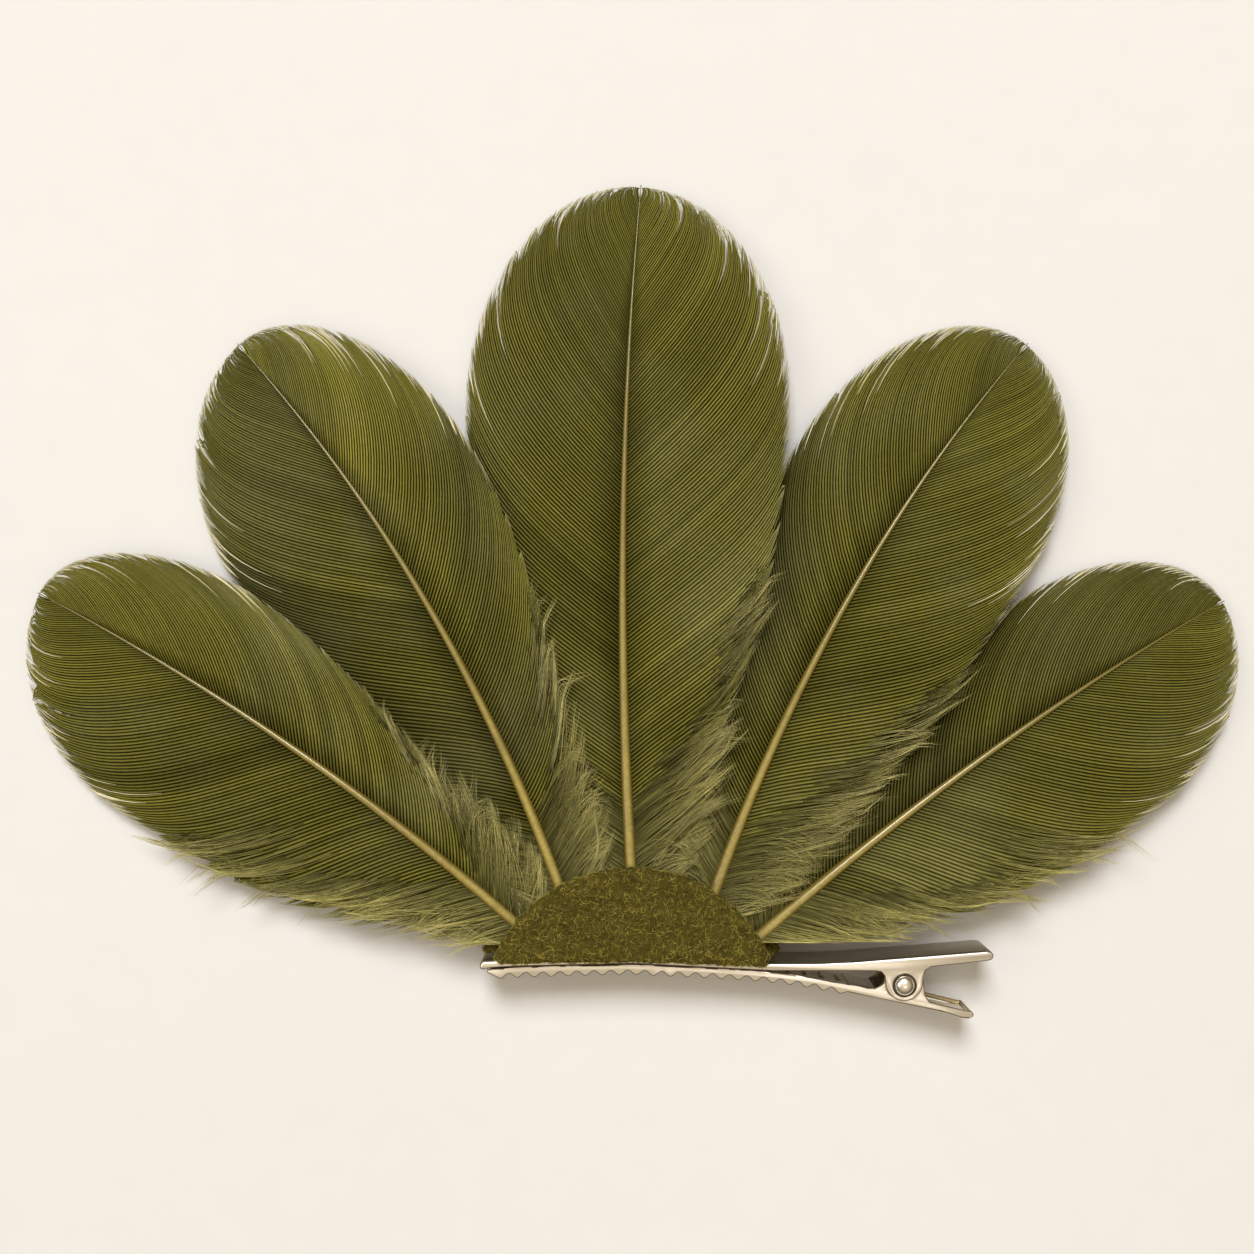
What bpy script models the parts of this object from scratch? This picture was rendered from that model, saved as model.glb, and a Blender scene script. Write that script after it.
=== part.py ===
"""Feather hair clip: five dyed goose feathers fanned between two felts on a toothed steel clip.

The clip lies on its back. X runs along the clip, Y towards the feather tips and Z up.
The origin is on the pivot's axis, at the level of the surface that the clip lies on.
Lengths are written in millimetres and turned into metres by MM.
"""

import math

import bmesh
import bpy
from mathutils import Vector

MM = 0.001

# Sheet steel levers
SHEET = 0.5
UPPER_BACK = 0.55
UPPER_FRONT = 9.95
SIDE_PLAY = 0.2
LOWER_BACK = UPPER_BACK + SHEET + SIDE_PLAY
LOWER_FRONT = UPPER_FRONT - SHEET - SIDE_PLAY
CUTTER_REACH = 2.0

# Upper lever, side outline: top of the web from the jaw's tip to the handle
UPPER_TOP = [
    (-61.95, 3.1),
    (-61.5, 3.55),
    (-56.0, 3.9),
    (-48.0, 4.15),
    (-40.0, 4.2),
    (-30.0, 3.85),
    (-19.0, 3.2),
    (-9.4, 3.36),
    (1.0, 4.17),
    (11.9, 5.05),
]
UPPER_HANDLE_END = [(12.6, 4.95), (13.0, 4.45), (12.85, 3.85), (12.3, 3.62)]
UPPER_HANDLE_EDGE = [(3.9, 2.7), (3.05, 2.2), (2.74, 1.3)]
UPPER_HOLLOW_END = 12.3
UPPER_EAR = (-0.05, 0.46, 2.75)
UPPER_JAW_EDGE = [
    (-2.95, 1.4),
    (-3.4, 1.95),
    (-4.3, 2.1),
    (-19.0, 2.12),
    (-29.8, 2.78),
    (-39.8, 3.2),
    (-44.4, 3.14),
    (-56.1, 2.82),
    (-60.6, 2.55),
    (-61.5, 2.3),
    (-61.95, 2.5),
]

# Lower lever, side outline: top of the jaw's web, ear, and handle
LOWER_TOP = [
    (-61.0, 2.17),
    (-56.1, 2.49),
    (-44.4, 2.82),
    (-39.8, 2.89),
    (-29.8, 2.45),
    (-20.4, 1.87),
    (-14.8, 1.14),
    (-9.2, 0.13),
    (-7.0, -0.09),
    (-5.3, -0.54),
]
LOWER_EAR_FILLET = [(-4.2, -0.6), (-3.4, -0.2)]
LOWER_EAR_RADIUS = 2.95
LOWER_EAR_START = 176
LOWER_HANDLE_EDGE = [(3.1, -1.5), (3.75, -2.55), (9.2, -3.87)]
LOWER_HANDLE_END = [(9.95, -3.95), (10.25, -4.35), (10.1, -4.75), (9.5, -4.95)]
LOWER_UNDERSIDE = [(8.45, -4.84), (5.5, -3.94), (-2.85, -2.26), (-8.2, -1.09)]
JAW_HOLLOW_END = -7.6
JAW_HOLLOW_DEPTH = 3.0
HANDLE_HOLLOW_START = [(-4.6, 0.1), (-3.3, -1.66)]
HANDLE_FLOOR_AT = (-2.85, 5.5, 8.45)
HANDLE_HOLLOW_END = [(9.5, -4.4), (9.75, -3.2)]

# Toothed edge of the lower jaw
TOOTH_FIRST = -59.0
TOOTH_LAST = -9.3
TOOTH_COUNT = 21
TOOTH_STEPS = 5
TOOTH_MEAN_DEPTH = 1.16
TOOTH_SWING = 0.31
JAW_END_DEPTH = 0.85
JAW_END_REACH = 1.1

# Grip ridges on the lower jaw's web
RIDGE_HEIGHT = 0.32
RIDGE_HALF = 0.42
RIDGE_FOOT = 0.25
RIDGE_BACK = 3.4
RIDGE_FRONT = 7.1

# Pivot rivet
SHAFT_RADIUS = 1.0
HOLE_RADIUS = 1.3
TAIL_RADIUS = 1.9
TAIL_THICKNESS = 0.3
HEAD_RADIUS = 1.42
HEAD_BASE = 10.0
HEAD_HEIGHT = 0.85
HEAD_STEPS = 5
SINK_RADIUS = 1.65
SINK_DEPTH = 0.22
ROUND_SIDES = 24

# Torsion spring
COIL_RADIUS = 1.62
WIRE_RADIUS = 0.2
COIL_PITCH = 0.52
COIL_BACK = 3.9
COIL_STEPS_PER_TURN = 8
UPPER_LEG_ANGLE = 15.0
LOWER_LEG_ANGLE = -13.6
WHOLE_TURNS = 4
LEG_LENGTH = 7.6

# Felts: half-discs with their straight edge on the clip
FELT_CENTRE = -39.8
COVER_RADIUS = 21.75
COVER_TOP = 17.3
COVER_SPREAD = 66.0
COVER_EDGE = [(-58.9, 3.5), (-49.0, 3.66), (-39.8, 3.74), (-29.0, 3.45), (-20.3, 2.95)]
COVER_BACK = 10.15
COVER_FRONT = 12.35
BACKING_RADIUS = 28.15
BACKING_TOP = 15.5
BACKING_SPREAD = 51.5
BACKING_EDGE = [(-61.6, 4.1), (-56.0, 4.2), (-48.0, 4.45), (-40.0, 4.5), (-30.0, 4.15), (-19.0, 3.6)]
BACKING_BACK = 5.6
BACKING_FRONT = 7.4
FELT_ARC_STEPS = 16
FELT_ROUNDING = 0.6

# Feathers: foot is where the quill leaves the felt, bow is to the right of the way it grows,
# fullness is how soon each vane reaches its width, and low is the least Y beside the clip.
FEATHERS = {
    "feather_outer_left": {
        "foot": (-57.0, 9.2),
        "tip": (-128.8, 57.3),
        "bow": 2.7,
        "tuck": 6.0,
        "drop": 6.9,
        "width": (22.8, 15.8),
        "fullness": (4.0, 1.6),
        "low": 5.2,
    },
    "feather_inner_left": {
        "foot": (-50.6, 14.9),
        "tip": (-98.9, 94.7),
        "bow": 4.5,
        "tuck": 9.0,
        "drop": 7.1,
        "width": (23.0, 18.2),
        "fullness": (3.0, 1.6),
        "low": 5.2,
    },
    "feather_centre": {
        "foot": (-39.9, 17.0),
        "tip": (-38.4, 118.5),
        "bow": -1.9,
        "tuck": 10.0,
        "drop": 7.3,
        "width": (24.2, 24.2),
        "fullness": (2.2, 2.2),
        "low": 5.2,
    },
    "feather_inner_right": {
        "foot": (-27.2, 14.8),
        "tip": (19.7, 94.8),
        "bow": -4.3,
        "tuck": 9.0,
        "drop": 7.5,
        "width": (18.6, 21.0),
        "fullness": (1.6, 3.0),
        "low": 5.2,
    },
    "feather_outer_right": {
        "foot": (-19.8, 8.2),
        "tip": (49.3, 56.1),
        "bow": -2.2,
        "tuck": 4.0,
        "drop": 7.7,
        "width": (16.2, 21.0),
        "fullness": (1.6, 4.0),
        "low": 6.1,
    },
}
QUILL_HEIGHT = 8.8
QUILL_END = 0.86
QUILL_STEPS = 13
QUILL_RADII = [
    (-0.2, 0.95),
    (0.0, 0.95),
    (0.16, 0.8),
    (0.34, 0.65),
    (0.55, 0.49),
    (0.77, 0.27),
    (1.0, 0.07),
]
VANE_THICKNESS = 0.45
VANE_ROWS = 22
VANE_COLUMNS = 8
VANE_START = 0.09
NOTCH = 0.93
NOTCHED_FROM = 0.9
VANE_CAMBER = 0.9
VANE_ROLL = 0.06
FOOT_ROLL = 0.07
RESTING = 0.235
RESTING_SOFTNESS = 0.25

# Barb pattern: where the outline is widest, and how each barb leaves the quill.
# The roots run from below the foot and crowd less near the tip, where the barbs straighten.
WIDEST = 0.68
OUTLINE_START = -0.06
SHARE_AT_WIDEST = 0.61
BARB_ANGLE = 52.0
BARB_REACH = 0.68
BARB_ROOT_START = -0.1
BARB_ROOT_SPAN = 0.8
BARB_ROOT_TIP_SPAN = 0.28
BARB_ROOT_TIP_POWER = 9
BARB_STRAIGHT_POWER = 24


def clear_scene():
    """Start from an empty scene."""
    for item in list(bpy.data.objects):
        bpy.data.objects.remove(item)


def collection(name):
    """A new collection in the scene."""
    made = bpy.data.collections.new(name)
    bpy.context.scene.collection.children.link(made)
    return made


def material(name, colour, roughness, metallic=0.0):
    """A plain Principled material."""
    made = bpy.data.materials.new(name)
    made.use_nodes = True
    shader = made.node_tree.nodes["Principled BSDF"]
    shader.inputs["Base Color"].default_value = (*colour, 1.0)
    shader.inputs["Roughness"].default_value = roughness
    shader.inputs["Metallic"].default_value = metallic
    return made


def place(name, mesh, group, finish=None):
    """Put a mesh in the scene as a named object."""
    made = bpy.data.objects.new(name, mesh)
    group.objects.link(made)
    if finish:
        mesh.materials.append(finish)
    return made


def mesh_of_curve(curve, name):
    """The closed mesh of a curve with welded caps, in metres."""
    holder = bpy.data.objects.new(name + "_line", curve)
    bpy.context.scene.collection.objects.link(holder)
    graph = bpy.context.evaluated_depsgraph_get()
    mesh = bpy.data.meshes.new_from_object(holder.evaluated_get(graph))
    bpy.data.objects.remove(holder)
    shape = bmesh.new()
    shape.from_mesh(mesh)
    bmesh.ops.remove_doubles(shape, verts=shape.verts, dist=0.002 * MM)
    bmesh.ops.recalc_face_normals(shape, faces=shape.faces)
    shape.to_mesh(mesh)
    shape.free()
    mesh.name = name
    return mesh


def plate(name, outline, back, front):
    """A flat outline in millimetres, filled and thickened from back to front along Z."""
    curve = bpy.data.curves.new(name, "CURVE")
    curve.dimensions = "2D"
    curve.fill_mode = "BOTH"
    curve.extrude = (front - back) / 2 * MM
    line = curve.splines.new("POLY")
    line.points.add(len(outline) - 1)
    for point, (x, y) in zip(line.points, outline):
        point.co = (x * MM, y * MM, 0.0, 1.0)
    line.use_cyclic_u = True
    mesh = mesh_of_curve(curve, name)
    for vertex in mesh.vertices:
        vertex.co.z += (front + back) / 2 * MM
    return mesh


def tube(name, points, radii, resolution=2):
    """A round wire through points in millimetres, with its radius at each."""
    curve = bpy.data.curves.new(name, "CURVE")
    curve.dimensions = "3D"
    curve.bevel_depth = MM
    curve.bevel_resolution = resolution
    curve.use_fill_caps = True
    line = curve.splines.new("POLY")
    line.points.add(len(points) - 1)
    for point, at, radius in zip(line.points, points, radii):
        point.co = (*(v * MM for v in at), 1.0)
        point.radius = radius
    return mesh_of_curve(curve, name)


def arc(centre_x, centre_y, radius, start, end, steps):
    """Points on a circle, angles in degrees, both ends included."""
    made = []
    for step in range(steps + 1):
        angle = math.radians(start + (end - start) * step / steps)
        made.append((centre_x + radius * math.cos(angle), centre_y + radius * math.sin(angle)))
    return made


def along(points, x):
    """Height of a line through points in order of x."""
    ordered = sorted(points)
    for (x0, y0), (x1, y1) in zip(ordered, ordered[1:]):
        if x <= x1:
            return y0 + (y1 - y0) * (x - x0) / (x1 - x0)
    return ordered[-1][1]


def cut(target, cutter, operation="DIFFERENCE"):
    """Add an exact Boolean modifier."""
    step = target.modifiers.new(operation.lower(), "BOOLEAN")
    step.operation = operation
    step.object = cutter
    step.solver = "EXACT"


def hide(cutter):
    """Show a cutter as wire only."""
    cutter.hide_render = True
    cutter.display_type = "WIRE"
    return cutter


def pivot_cylinder(name, radius, back, front, tools):
    """A round cutter on the pivot's axis."""
    shape = bmesh.new()
    bmesh.ops.create_cone(
        shape,
        cap_ends=True,
        segments=ROUND_SIDES,
        radius1=radius * MM,
        radius2=radius * MM,
        depth=(front - back) * MM,
    )
    bmesh.ops.translate(shape, verts=shape.verts, vec=(0, 0, (front + back) / 2 * MM))
    mesh = bpy.data.meshes.new(name)
    shape.to_mesh(mesh)
    shape.free()
    return hide(place(name, mesh, tools))


def upper_lever(parts, tools, steel):
    """The fixed lever: a channel open downwards, with two ears and a handle."""
    ear_x, ear_y, ear_radius = UPPER_EAR
    ear = arc(ear_x, ear_y, ear_radius, 0, -180, 16)
    outline = UPPER_TOP + UPPER_HANDLE_END + UPPER_HANDLE_EDGE + ear + UPPER_JAW_EDGE
    lever = place("upper_lever", plate("upper_lever", outline, UPPER_BACK, UPPER_FRONT), parts, steel)
    roof = [(x, y - SHEET) for x, y in UPPER_TOP[1:]]
    roof[0] = (roof[0][0] + SHEET, along(UPPER_TOP, roof[0][0] + SHEET) - SHEET)
    floor = -CUTTER_REACH - ear_radius
    roof[-1] = (UPPER_HOLLOW_END, along(UPPER_TOP, UPPER_HOLLOW_END) - SHEET)
    hollow = roof + [(roof[-1][0], floor), (roof[0][0], floor)]
    inside = plate("upper_hollow", hollow, UPPER_BACK + SHEET, UPPER_FRONT - SHEET)
    cut(lever, hide(place("upper_hollow", inside, tools)))
    cut(lever, pivot_cylinder("upper_bore", HOLE_RADIUS, -CUTTER_REACH, UPPER_FRONT + CUTTER_REACH, tools))
    sink_floor = UPPER_FRONT - SINK_DEPTH
    cut(lever, pivot_cylinder("head_sink", SINK_RADIUS, sink_floor, UPPER_FRONT + CUTTER_REACH, tools))


def toothed_edge():
    """The scalloped lower edge of the lower jaw, from the pivot towards the tip."""
    pitch = (TOOTH_LAST - TOOTH_FIRST) / (TOOTH_COUNT - 1)
    made = []
    for step in range((TOOTH_COUNT - 1) * TOOTH_STEPS, -1, -1):
        x = TOOTH_FIRST + pitch * step / TOOTH_STEPS
        wave = math.cos(2 * math.pi * step / TOOTH_STEPS)
        made.append((x, along(LOWER_TOP, x) - TOOTH_MEAN_DEPTH - TOOTH_SWING * wave))
    return made


def grip_ridges():
    """Outline of the row of small ridges that stands on the lower jaw's web."""
    pitch = (TOOTH_LAST - TOOTH_FIRST) / (TOOTH_COUNT - 1)
    top = []
    for tooth in range(TOOTH_COUNT):
        x = TOOTH_FIRST + pitch * tooth
        web = along(LOWER_TOP, x)
        foot = web - RIDGE_FOOT / 2
        top += [(x - RIDGE_HALF, foot), (x, web + RIDGE_HEIGHT), (x + RIDGE_HALF, foot)]
    bottom = [(x, y - RIDGE_FOOT) for x, y in top if y < along(LOWER_TOP, x)]
    return top + bottom[::-1]


def lower_lever(parts, tools, steel):
    """The sprung lever: a toothed jaw, two ears and a handle that is open upwards."""
    ear = arc(0, 0, LOWER_EAR_RADIUS, LOWER_EAR_START, 0, 18)
    tip_x, tip_y = LOWER_TOP[0]
    jaw_end = [(TOOTH_FIRST - JAW_END_REACH, tip_y - JAW_END_DEPTH), (tip_x, tip_y - JAW_END_DEPTH / 2)]
    outline = LOWER_TOP + LOWER_EAR_FILLET + ear + LOWER_HANDLE_EDGE + LOWER_HANDLE_END
    outline += LOWER_UNDERSIDE + toothed_edge() + jaw_end
    lever = place("lower_lever", plate("lower_lever", outline, LOWER_BACK, LOWER_FRONT), parts, steel)
    jaw_roof = [(x, y - SHEET) for x, y in LOWER_TOP[1:-2]]
    jaw_roof.insert(0, (tip_x + SHEET, along(LOWER_TOP, tip_x + SHEET) - SHEET))
    jaw_roof.append((JAW_HOLLOW_END, along(LOWER_TOP, JAW_HOLLOW_END) - SHEET))
    jaw_hollow = jaw_roof + [(jaw_roof[-1][0], -JAW_HOLLOW_DEPTH), (jaw_roof[0][0], -JAW_HOLLOW_DEPTH)]
    inside = (LOWER_BACK + SHEET, LOWER_FRONT - SHEET)
    cut(lever, hide(place("jaw_hollow", plate("jaw_hollow", jaw_hollow, *inside), tools)))
    floor = [(x, along(LOWER_UNDERSIDE, x) + SHEET) for x in HANDLE_FLOOR_AT]
    floor = HANDLE_HOLLOW_START + floor + HANDLE_HOLLOW_END
    above = LOWER_EAR_RADIUS + CUTTER_REACH
    handle_hollow = floor + [(floor[-1][0], above), (floor[0][0], above)]
    cut(lever, hide(place("handle_hollow", plate("handle_hollow", handle_hollow, *inside), tools)))
    cut(lever, pivot_cylinder("lower_bore", HOLE_RADIUS, -CUTTER_REACH, UPPER_FRONT + CUTTER_REACH, tools))
    ridges = plate("grip_ridges", grip_ridges(), RIDGE_BACK, RIDGE_FRONT)
    cut(lever, hide(place("grip_ridges", ridges, tools)), "UNION")


def pivot_rivet(parts, steel):
    """The rivet: a flat tail, a shaft through both levers and a domed head."""
    profile = [(0.0, HEAD_BASE + HEAD_HEIGHT)]
    for step in range(1, HEAD_STEPS + 1):
        angle = math.radians(90.0 * step / HEAD_STEPS)
        profile.append((HEAD_RADIUS * math.sin(angle), HEAD_BASE + HEAD_HEIGHT * math.cos(angle)))
    profile += [(SHAFT_RADIUS, HEAD_BASE), (SHAFT_RADIUS, TAIL_THICKNESS)]
    profile += [(TAIL_RADIUS, TAIL_THICKNESS), (TAIL_RADIUS, 0.0), (0.0, 0.0)]
    mesh = bpy.data.meshes.new("pivot_rivet")
    shape = bmesh.new()
    rim = [shape.verts.new((x * MM, 0, z * MM)) for x, z in profile]
    for start, end in zip(rim, rim[1:]):
        shape.edges.new((start, end))
    shape.to_mesh(mesh)
    shape.free()
    rivet = place("pivot_rivet", mesh, parts, steel)
    turn = rivet.modifiers.new("turn", "SCREW")
    turn.steps = ROUND_SIDES
    turn.render_steps = ROUND_SIDES
    turn.use_merge_vertices = True
    turn.merge_threshold = 0.000001
    turn.use_smooth_shade = False


def torsion_spring(parts, steel):
    """The coil round the rivet, with one leg in each handle."""
    start = UPPER_LEG_ANGLE + 90
    sweep = (LOWER_LEG_ANGLE - 90 + 360) - start + 360 * WHOLE_TURNS
    steps = round(sweep / 360 * COIL_STEPS_PER_TURN)
    front = COIL_BACK + COIL_PITCH * sweep / 360
    upper = math.radians(UPPER_LEG_ANGLE)
    lower = math.radians(LOWER_LEG_ANGLE)
    coil = []
    for step in range(steps + 1):
        angle = math.radians(start + sweep * step / steps)
        depth = COIL_BACK + (front - COIL_BACK) * step / steps
        coil.append((COIL_RADIUS * math.cos(angle), COIL_RADIUS * math.sin(angle), depth))
    first = coil[0]
    last = coil[-1]
    upper_end = (first[0] + LEG_LENGTH * math.cos(upper), first[1] + LEG_LENGTH * math.sin(upper), first[2])
    lower_end = (last[0] + LEG_LENGTH * math.cos(lower), last[1] + LEG_LENGTH * math.sin(lower), last[2])
    route = [upper_end] + coil + [lower_end]
    place("torsion_spring", tube("torsion_spring", route, [WIRE_RADIUS] * len(route)), parts, steel)


def felt(name, radius, top, spread, edge, back, front, parts, cloth):
    """A half-disc of felt with softly rounded edges."""
    rim = arc(FELT_CENTRE, top - radius, radius, 90 - spread, 90 + spread, FELT_ARC_STEPS)
    piece = place(name, plate(name, rim + edge, back, front), parts, cloth)
    rounding = piece.modifiers.new("rounding", "BEVEL")
    rounding.width = FELT_ROUNDING * MM
    rounding.segments = 2
    rounding.limit_method = "ANGLE"
    rounding.angle_limit = math.radians(50)


def frame_of(spec):
    """Foot, unit vectors along and to the right, and length of a feather."""
    foot = Vector(spec["foot"])
    way = Vector(spec["tip"]) - foot
    length = way.length
    way.normalize()
    return foot, way, Vector((way.y, -way.x)), length


def quill_point(spec, share):
    """A point on the quill's line, seen from the front, at a share of the length from the foot."""
    foot, way, right, length = frame_of(spec)
    return foot + way * (length * share) + right * (4 * spec["bow"] * share * (1 - share))


def quill_way(spec, share):
    """Unit vector along the quill."""
    step = 0.001
    return (quill_point(spec, share + step) - quill_point(spec, share - step)).normalized()


def quill_height(spec, share):
    """Height of the quill's middle."""
    return QUILL_HEIGHT - spec["drop"] * max(share, 0.0) ** 1.5


def quill_radius(share):
    """Radius of the quill."""
    return along(QUILL_RADII, share)


def rim_point(spec, side, share):
    """A point of a vane's outline: side is -1 or 1, share runs from the foot to the tip."""
    width = spec["width"][side > 0]
    if share < SHARE_AT_WIDEST:
        reach = OUTLINE_START + (WIDEST - OUTLINE_START) * share / SHARE_AT_WIDEST
        rest = (WIDEST - reach) / (WIDEST - OUTLINE_START)
        width *= 1 - rest ** spec["fullness"][side > 0]
    else:
        turn = math.pi / 2 * (share - SHARE_AT_WIDEST) / (1 - SHARE_AT_WIDEST)
        reach = WIDEST + (1 - WIDEST) * math.sin(turn)
        width *= math.cos(turn)
    way = quill_way(spec, reach)
    return quill_point(spec, reach) + Vector((way.y, -way.x)) * (side * width)


def barb_root(share):
    """Where on the quill the barb starts that ends at a share of the outline."""
    return BARB_ROOT_START + share * (BARB_ROOT_SPAN + BARB_ROOT_TIP_SPAN * share**BARB_ROOT_TIP_POWER)


def barb_point(spec, side, share, reach):
    """A point on a barb: reach runs from the quill to the outline."""
    root_share = barb_root(share)
    root = quill_point(spec, root_share)
    end = rim_point(spec, side, share)
    way = quill_way(spec, root_share)
    out = Vector((way.y, -way.x)) * side
    angle = math.radians(BARB_ANGLE) * (1 - share**BARB_STRAIGHT_POWER)
    bend = root + (way * math.cos(angle) + out * math.sin(angle)) * ((end - root).length * BARB_REACH)
    return root * (1 - reach) ** 2 + bend * (2 * reach * (1 - reach)) + end * reach**2


def vane_height(spec, at):
    """Height of the vane's middle surface at a point seen from the front."""
    foot, way, right, length = frame_of(spec)
    share = (at - foot).dot(way) / length
    bow = 4 * spec["bow"] * share * (1 - share)
    across = (at - foot).dot(right) - bow
    roll = VANE_ROLL + FOOT_ROLL * (1 - min(max(share, 0.0), 1.0)) ** 2
    width = spec["width"][across > 0]
    height = quill_height(spec, min(share, 1.0)) + roll * across - VANE_CAMBER * (across / width) ** 2
    lift = height - RESTING
    return RESTING + (lift + math.hypot(lift, RESTING_SOFTNESS)) / 2


def feather(name, spec, parts, tools, finish):
    """A quill with its two vanes, cut into locks along the barbs, as one solid."""
    shape = bmesh.new()
    bmesh.ops.create_grid(shape, x_segments=VANE_ROWS, y_segments=VANE_COLUMNS, size=1.0)
    for vertex in shape.verts:
        row = round((vertex.co.x + 1) / 2 * VANE_ROWS)
        share = VANE_START + (1 - VANE_START) * row / VANE_ROWS
        side = -1 if vertex.co.y < 0 else 1
        reach = abs(vertex.co.y)
        if row % 2 and reach > NOTCHED_FROM:
            reach *= NOTCH
        at = barb_point(spec, side, share, reach)
        at.y = max(at.y, spec["low"])
        vertex.co = Vector((at.x, at.y, vane_height(spec, at))) * MM
    bmesh.ops.remove_doubles(shape, verts=shape.verts, dist=0.001 * MM)
    bmesh.ops.recalc_face_normals(shape, faces=shape.faces)
    mesh = bpy.data.meshes.new(name)
    shape.to_mesh(mesh)
    shape.free()
    piece = place(name, mesh, parts, finish)
    wall = piece.modifiers.new("wall", "SOLIDIFY")
    wall.thickness = VANE_THICKNESS * MM
    wall.offset = 0.0
    length = frame_of(spec)[3]
    start = -spec["tuck"] / length
    shares = [start + (QUILL_END - start) * step / QUILL_STEPS for step in range(QUILL_STEPS + 1)]
    route = [(*quill_point(spec, share), quill_height(spec, share)) for share in shares]
    quill = tube(name + "_quill", route, [quill_radius(share) for share in shares])
    cut(piece, hide(place(name + "_quill", quill, tools)), "UNION")


def main():
    """Build the hair clip."""
    clear_scene()
    parts = collection("feather_hair_clip")
    tools = collection("cutters")
    nickel = material("nickel_plated_steel", (0.56, 0.54, 0.51), 0.28, 1.0)
    spring_wire = material("spring_steel", (0.5, 0.49, 0.47), 0.35, 1.0)
    olive_felt = material("olive_felt", (0.11, 0.10, 0.03), 0.95)
    olive_vane = material("olive_feather", (0.14, 0.13, 0.035), 0.6)
    upper_lever(parts, tools, nickel)
    lower_lever(parts, tools, nickel)
    pivot_rivet(parts, nickel)
    torsion_spring(parts, spring_wire)
    felt(
        "felt_cover",
        COVER_RADIUS,
        COVER_TOP,
        COVER_SPREAD,
        COVER_EDGE,
        COVER_BACK,
        COVER_FRONT,
        parts,
        olive_felt,
    )
    felt(
        "felt_backing",
        BACKING_RADIUS,
        BACKING_TOP,
        BACKING_SPREAD,
        BACKING_EDGE,
        BACKING_BACK,
        BACKING_FRONT,
        parts,
        olive_felt,
    )
    for name, spec in FEATHERS.items():
        feather(name, spec, parts, tools, olive_vane)


main()
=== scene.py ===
"""Feather hair clip: the finished surfaces, laid on the frame of its solids.

It builds the barbs, down and quills of five dyed goose feathers, two pieces of felt with their nap,
and the pressed steel clip. Lengths are named in millimetres and turned into metres by MM.
"""

import math

import bmesh
import bpy
import numpy as np
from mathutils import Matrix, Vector


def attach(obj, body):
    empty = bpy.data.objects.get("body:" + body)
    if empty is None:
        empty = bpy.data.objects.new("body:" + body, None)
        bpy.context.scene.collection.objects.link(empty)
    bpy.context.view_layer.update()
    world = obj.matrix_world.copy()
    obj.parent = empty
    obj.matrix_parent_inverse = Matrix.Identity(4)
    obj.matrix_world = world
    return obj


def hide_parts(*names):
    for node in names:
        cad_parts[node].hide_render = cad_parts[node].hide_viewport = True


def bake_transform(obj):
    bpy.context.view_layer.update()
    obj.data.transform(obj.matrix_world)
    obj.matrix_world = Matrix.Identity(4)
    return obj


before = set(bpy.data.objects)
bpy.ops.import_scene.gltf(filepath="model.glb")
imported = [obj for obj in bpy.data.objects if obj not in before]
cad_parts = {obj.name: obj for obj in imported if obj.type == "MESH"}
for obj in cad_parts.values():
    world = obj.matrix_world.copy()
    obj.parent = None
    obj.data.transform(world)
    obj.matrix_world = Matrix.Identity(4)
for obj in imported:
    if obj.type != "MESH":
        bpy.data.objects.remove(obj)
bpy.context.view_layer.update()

bl_info = {
    "name": "Feather hair clip",
    "version": (1, 0, 0),
    "blender": (4, 5, 0),
    "location": "View3D > Sidebar > Hair clip",
    "description": "Builds a sprung hair clip with a fan of dyed goose feathers",
    "category": "Add Mesh",
}

MM = 0.001
CLIP_BODY = "clip_with_feathers"
JAW_BODY = "sprung_lever"

# Camera, over the fan's middle, looking straight down
CAMERA_AT = (-40.49, 52.28, 263.9)
LENS = 50.0
SENSOR = 36.0

# Heights of the clip's sheet metal
SHEET = 0.5
UPPER_BACK = 0.55
UPPER_FRONT = 9.95
LOWER_BACK = 1.25
LOWER_FRONT = 9.25
CUTTER_REACH = 2.0

# Side outlines of the two levers, as in the solids
UPPER_TOP = [
    (-61.95, 3.1),
    (-61.5, 3.55),
    (-56.0, 3.9),
    (-48.0, 4.15),
    (-40.0, 4.2),
    (-30.0, 3.85),
    (-19.0, 3.2),
    (-9.4, 3.36),
    (1.0, 4.17),
    (11.9, 5.05),
]
UPPER_HANDLE_END = [(12.6, 4.95), (13.0, 4.45), (12.85, 3.85), (12.3, 3.62)]
UPPER_HANDLE_EDGE = [(3.9, 2.7), (3.05, 2.2), (2.74, 1.3)]
UPPER_EAR = (-0.05, 0.46, 2.75)
UPPER_EAR_STEPS = 40
UPPER_HOLLOW_START = -61.0
UPPER_HOLLOW_END = 12.3
UPPER_HOLLOW_BOTTOM = -5.0
UPPER_JAW_EDGE = [
    (-2.95, 1.4),
    (-3.4, 1.95),
    (-4.3, 2.1),
    (-19.0, 2.12),
    (-29.8, 2.78),
    (-39.8, 3.2),
    (-44.4, 3.14),
    (-56.1, 2.82),
    (-60.6, 2.55),
    (-61.5, 2.3),
    (-61.95, 2.5),
]
LOWER_TOP = [
    (-61.0, 2.17),
    (-56.1, 2.49),
    (-44.4, 2.82),
    (-39.8, 2.89),
    (-29.8, 2.45),
    (-20.4, 1.87),
    (-14.8, 1.14),
    (-9.2, 0.13),
    (-7.0, -0.09),
    (-5.3, -0.54),
]
LOWER_EAR_FILLET = [(-4.2, -0.6), (-3.4, -0.2)]
LOWER_EAR_RADIUS = 2.95
LOWER_EAR_START = 176
LOWER_EAR_STEPS = 44
LOWER_HANDLE_EDGE = [(3.1, -1.5), (3.75, -2.55), (9.2, -3.87)]
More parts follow.
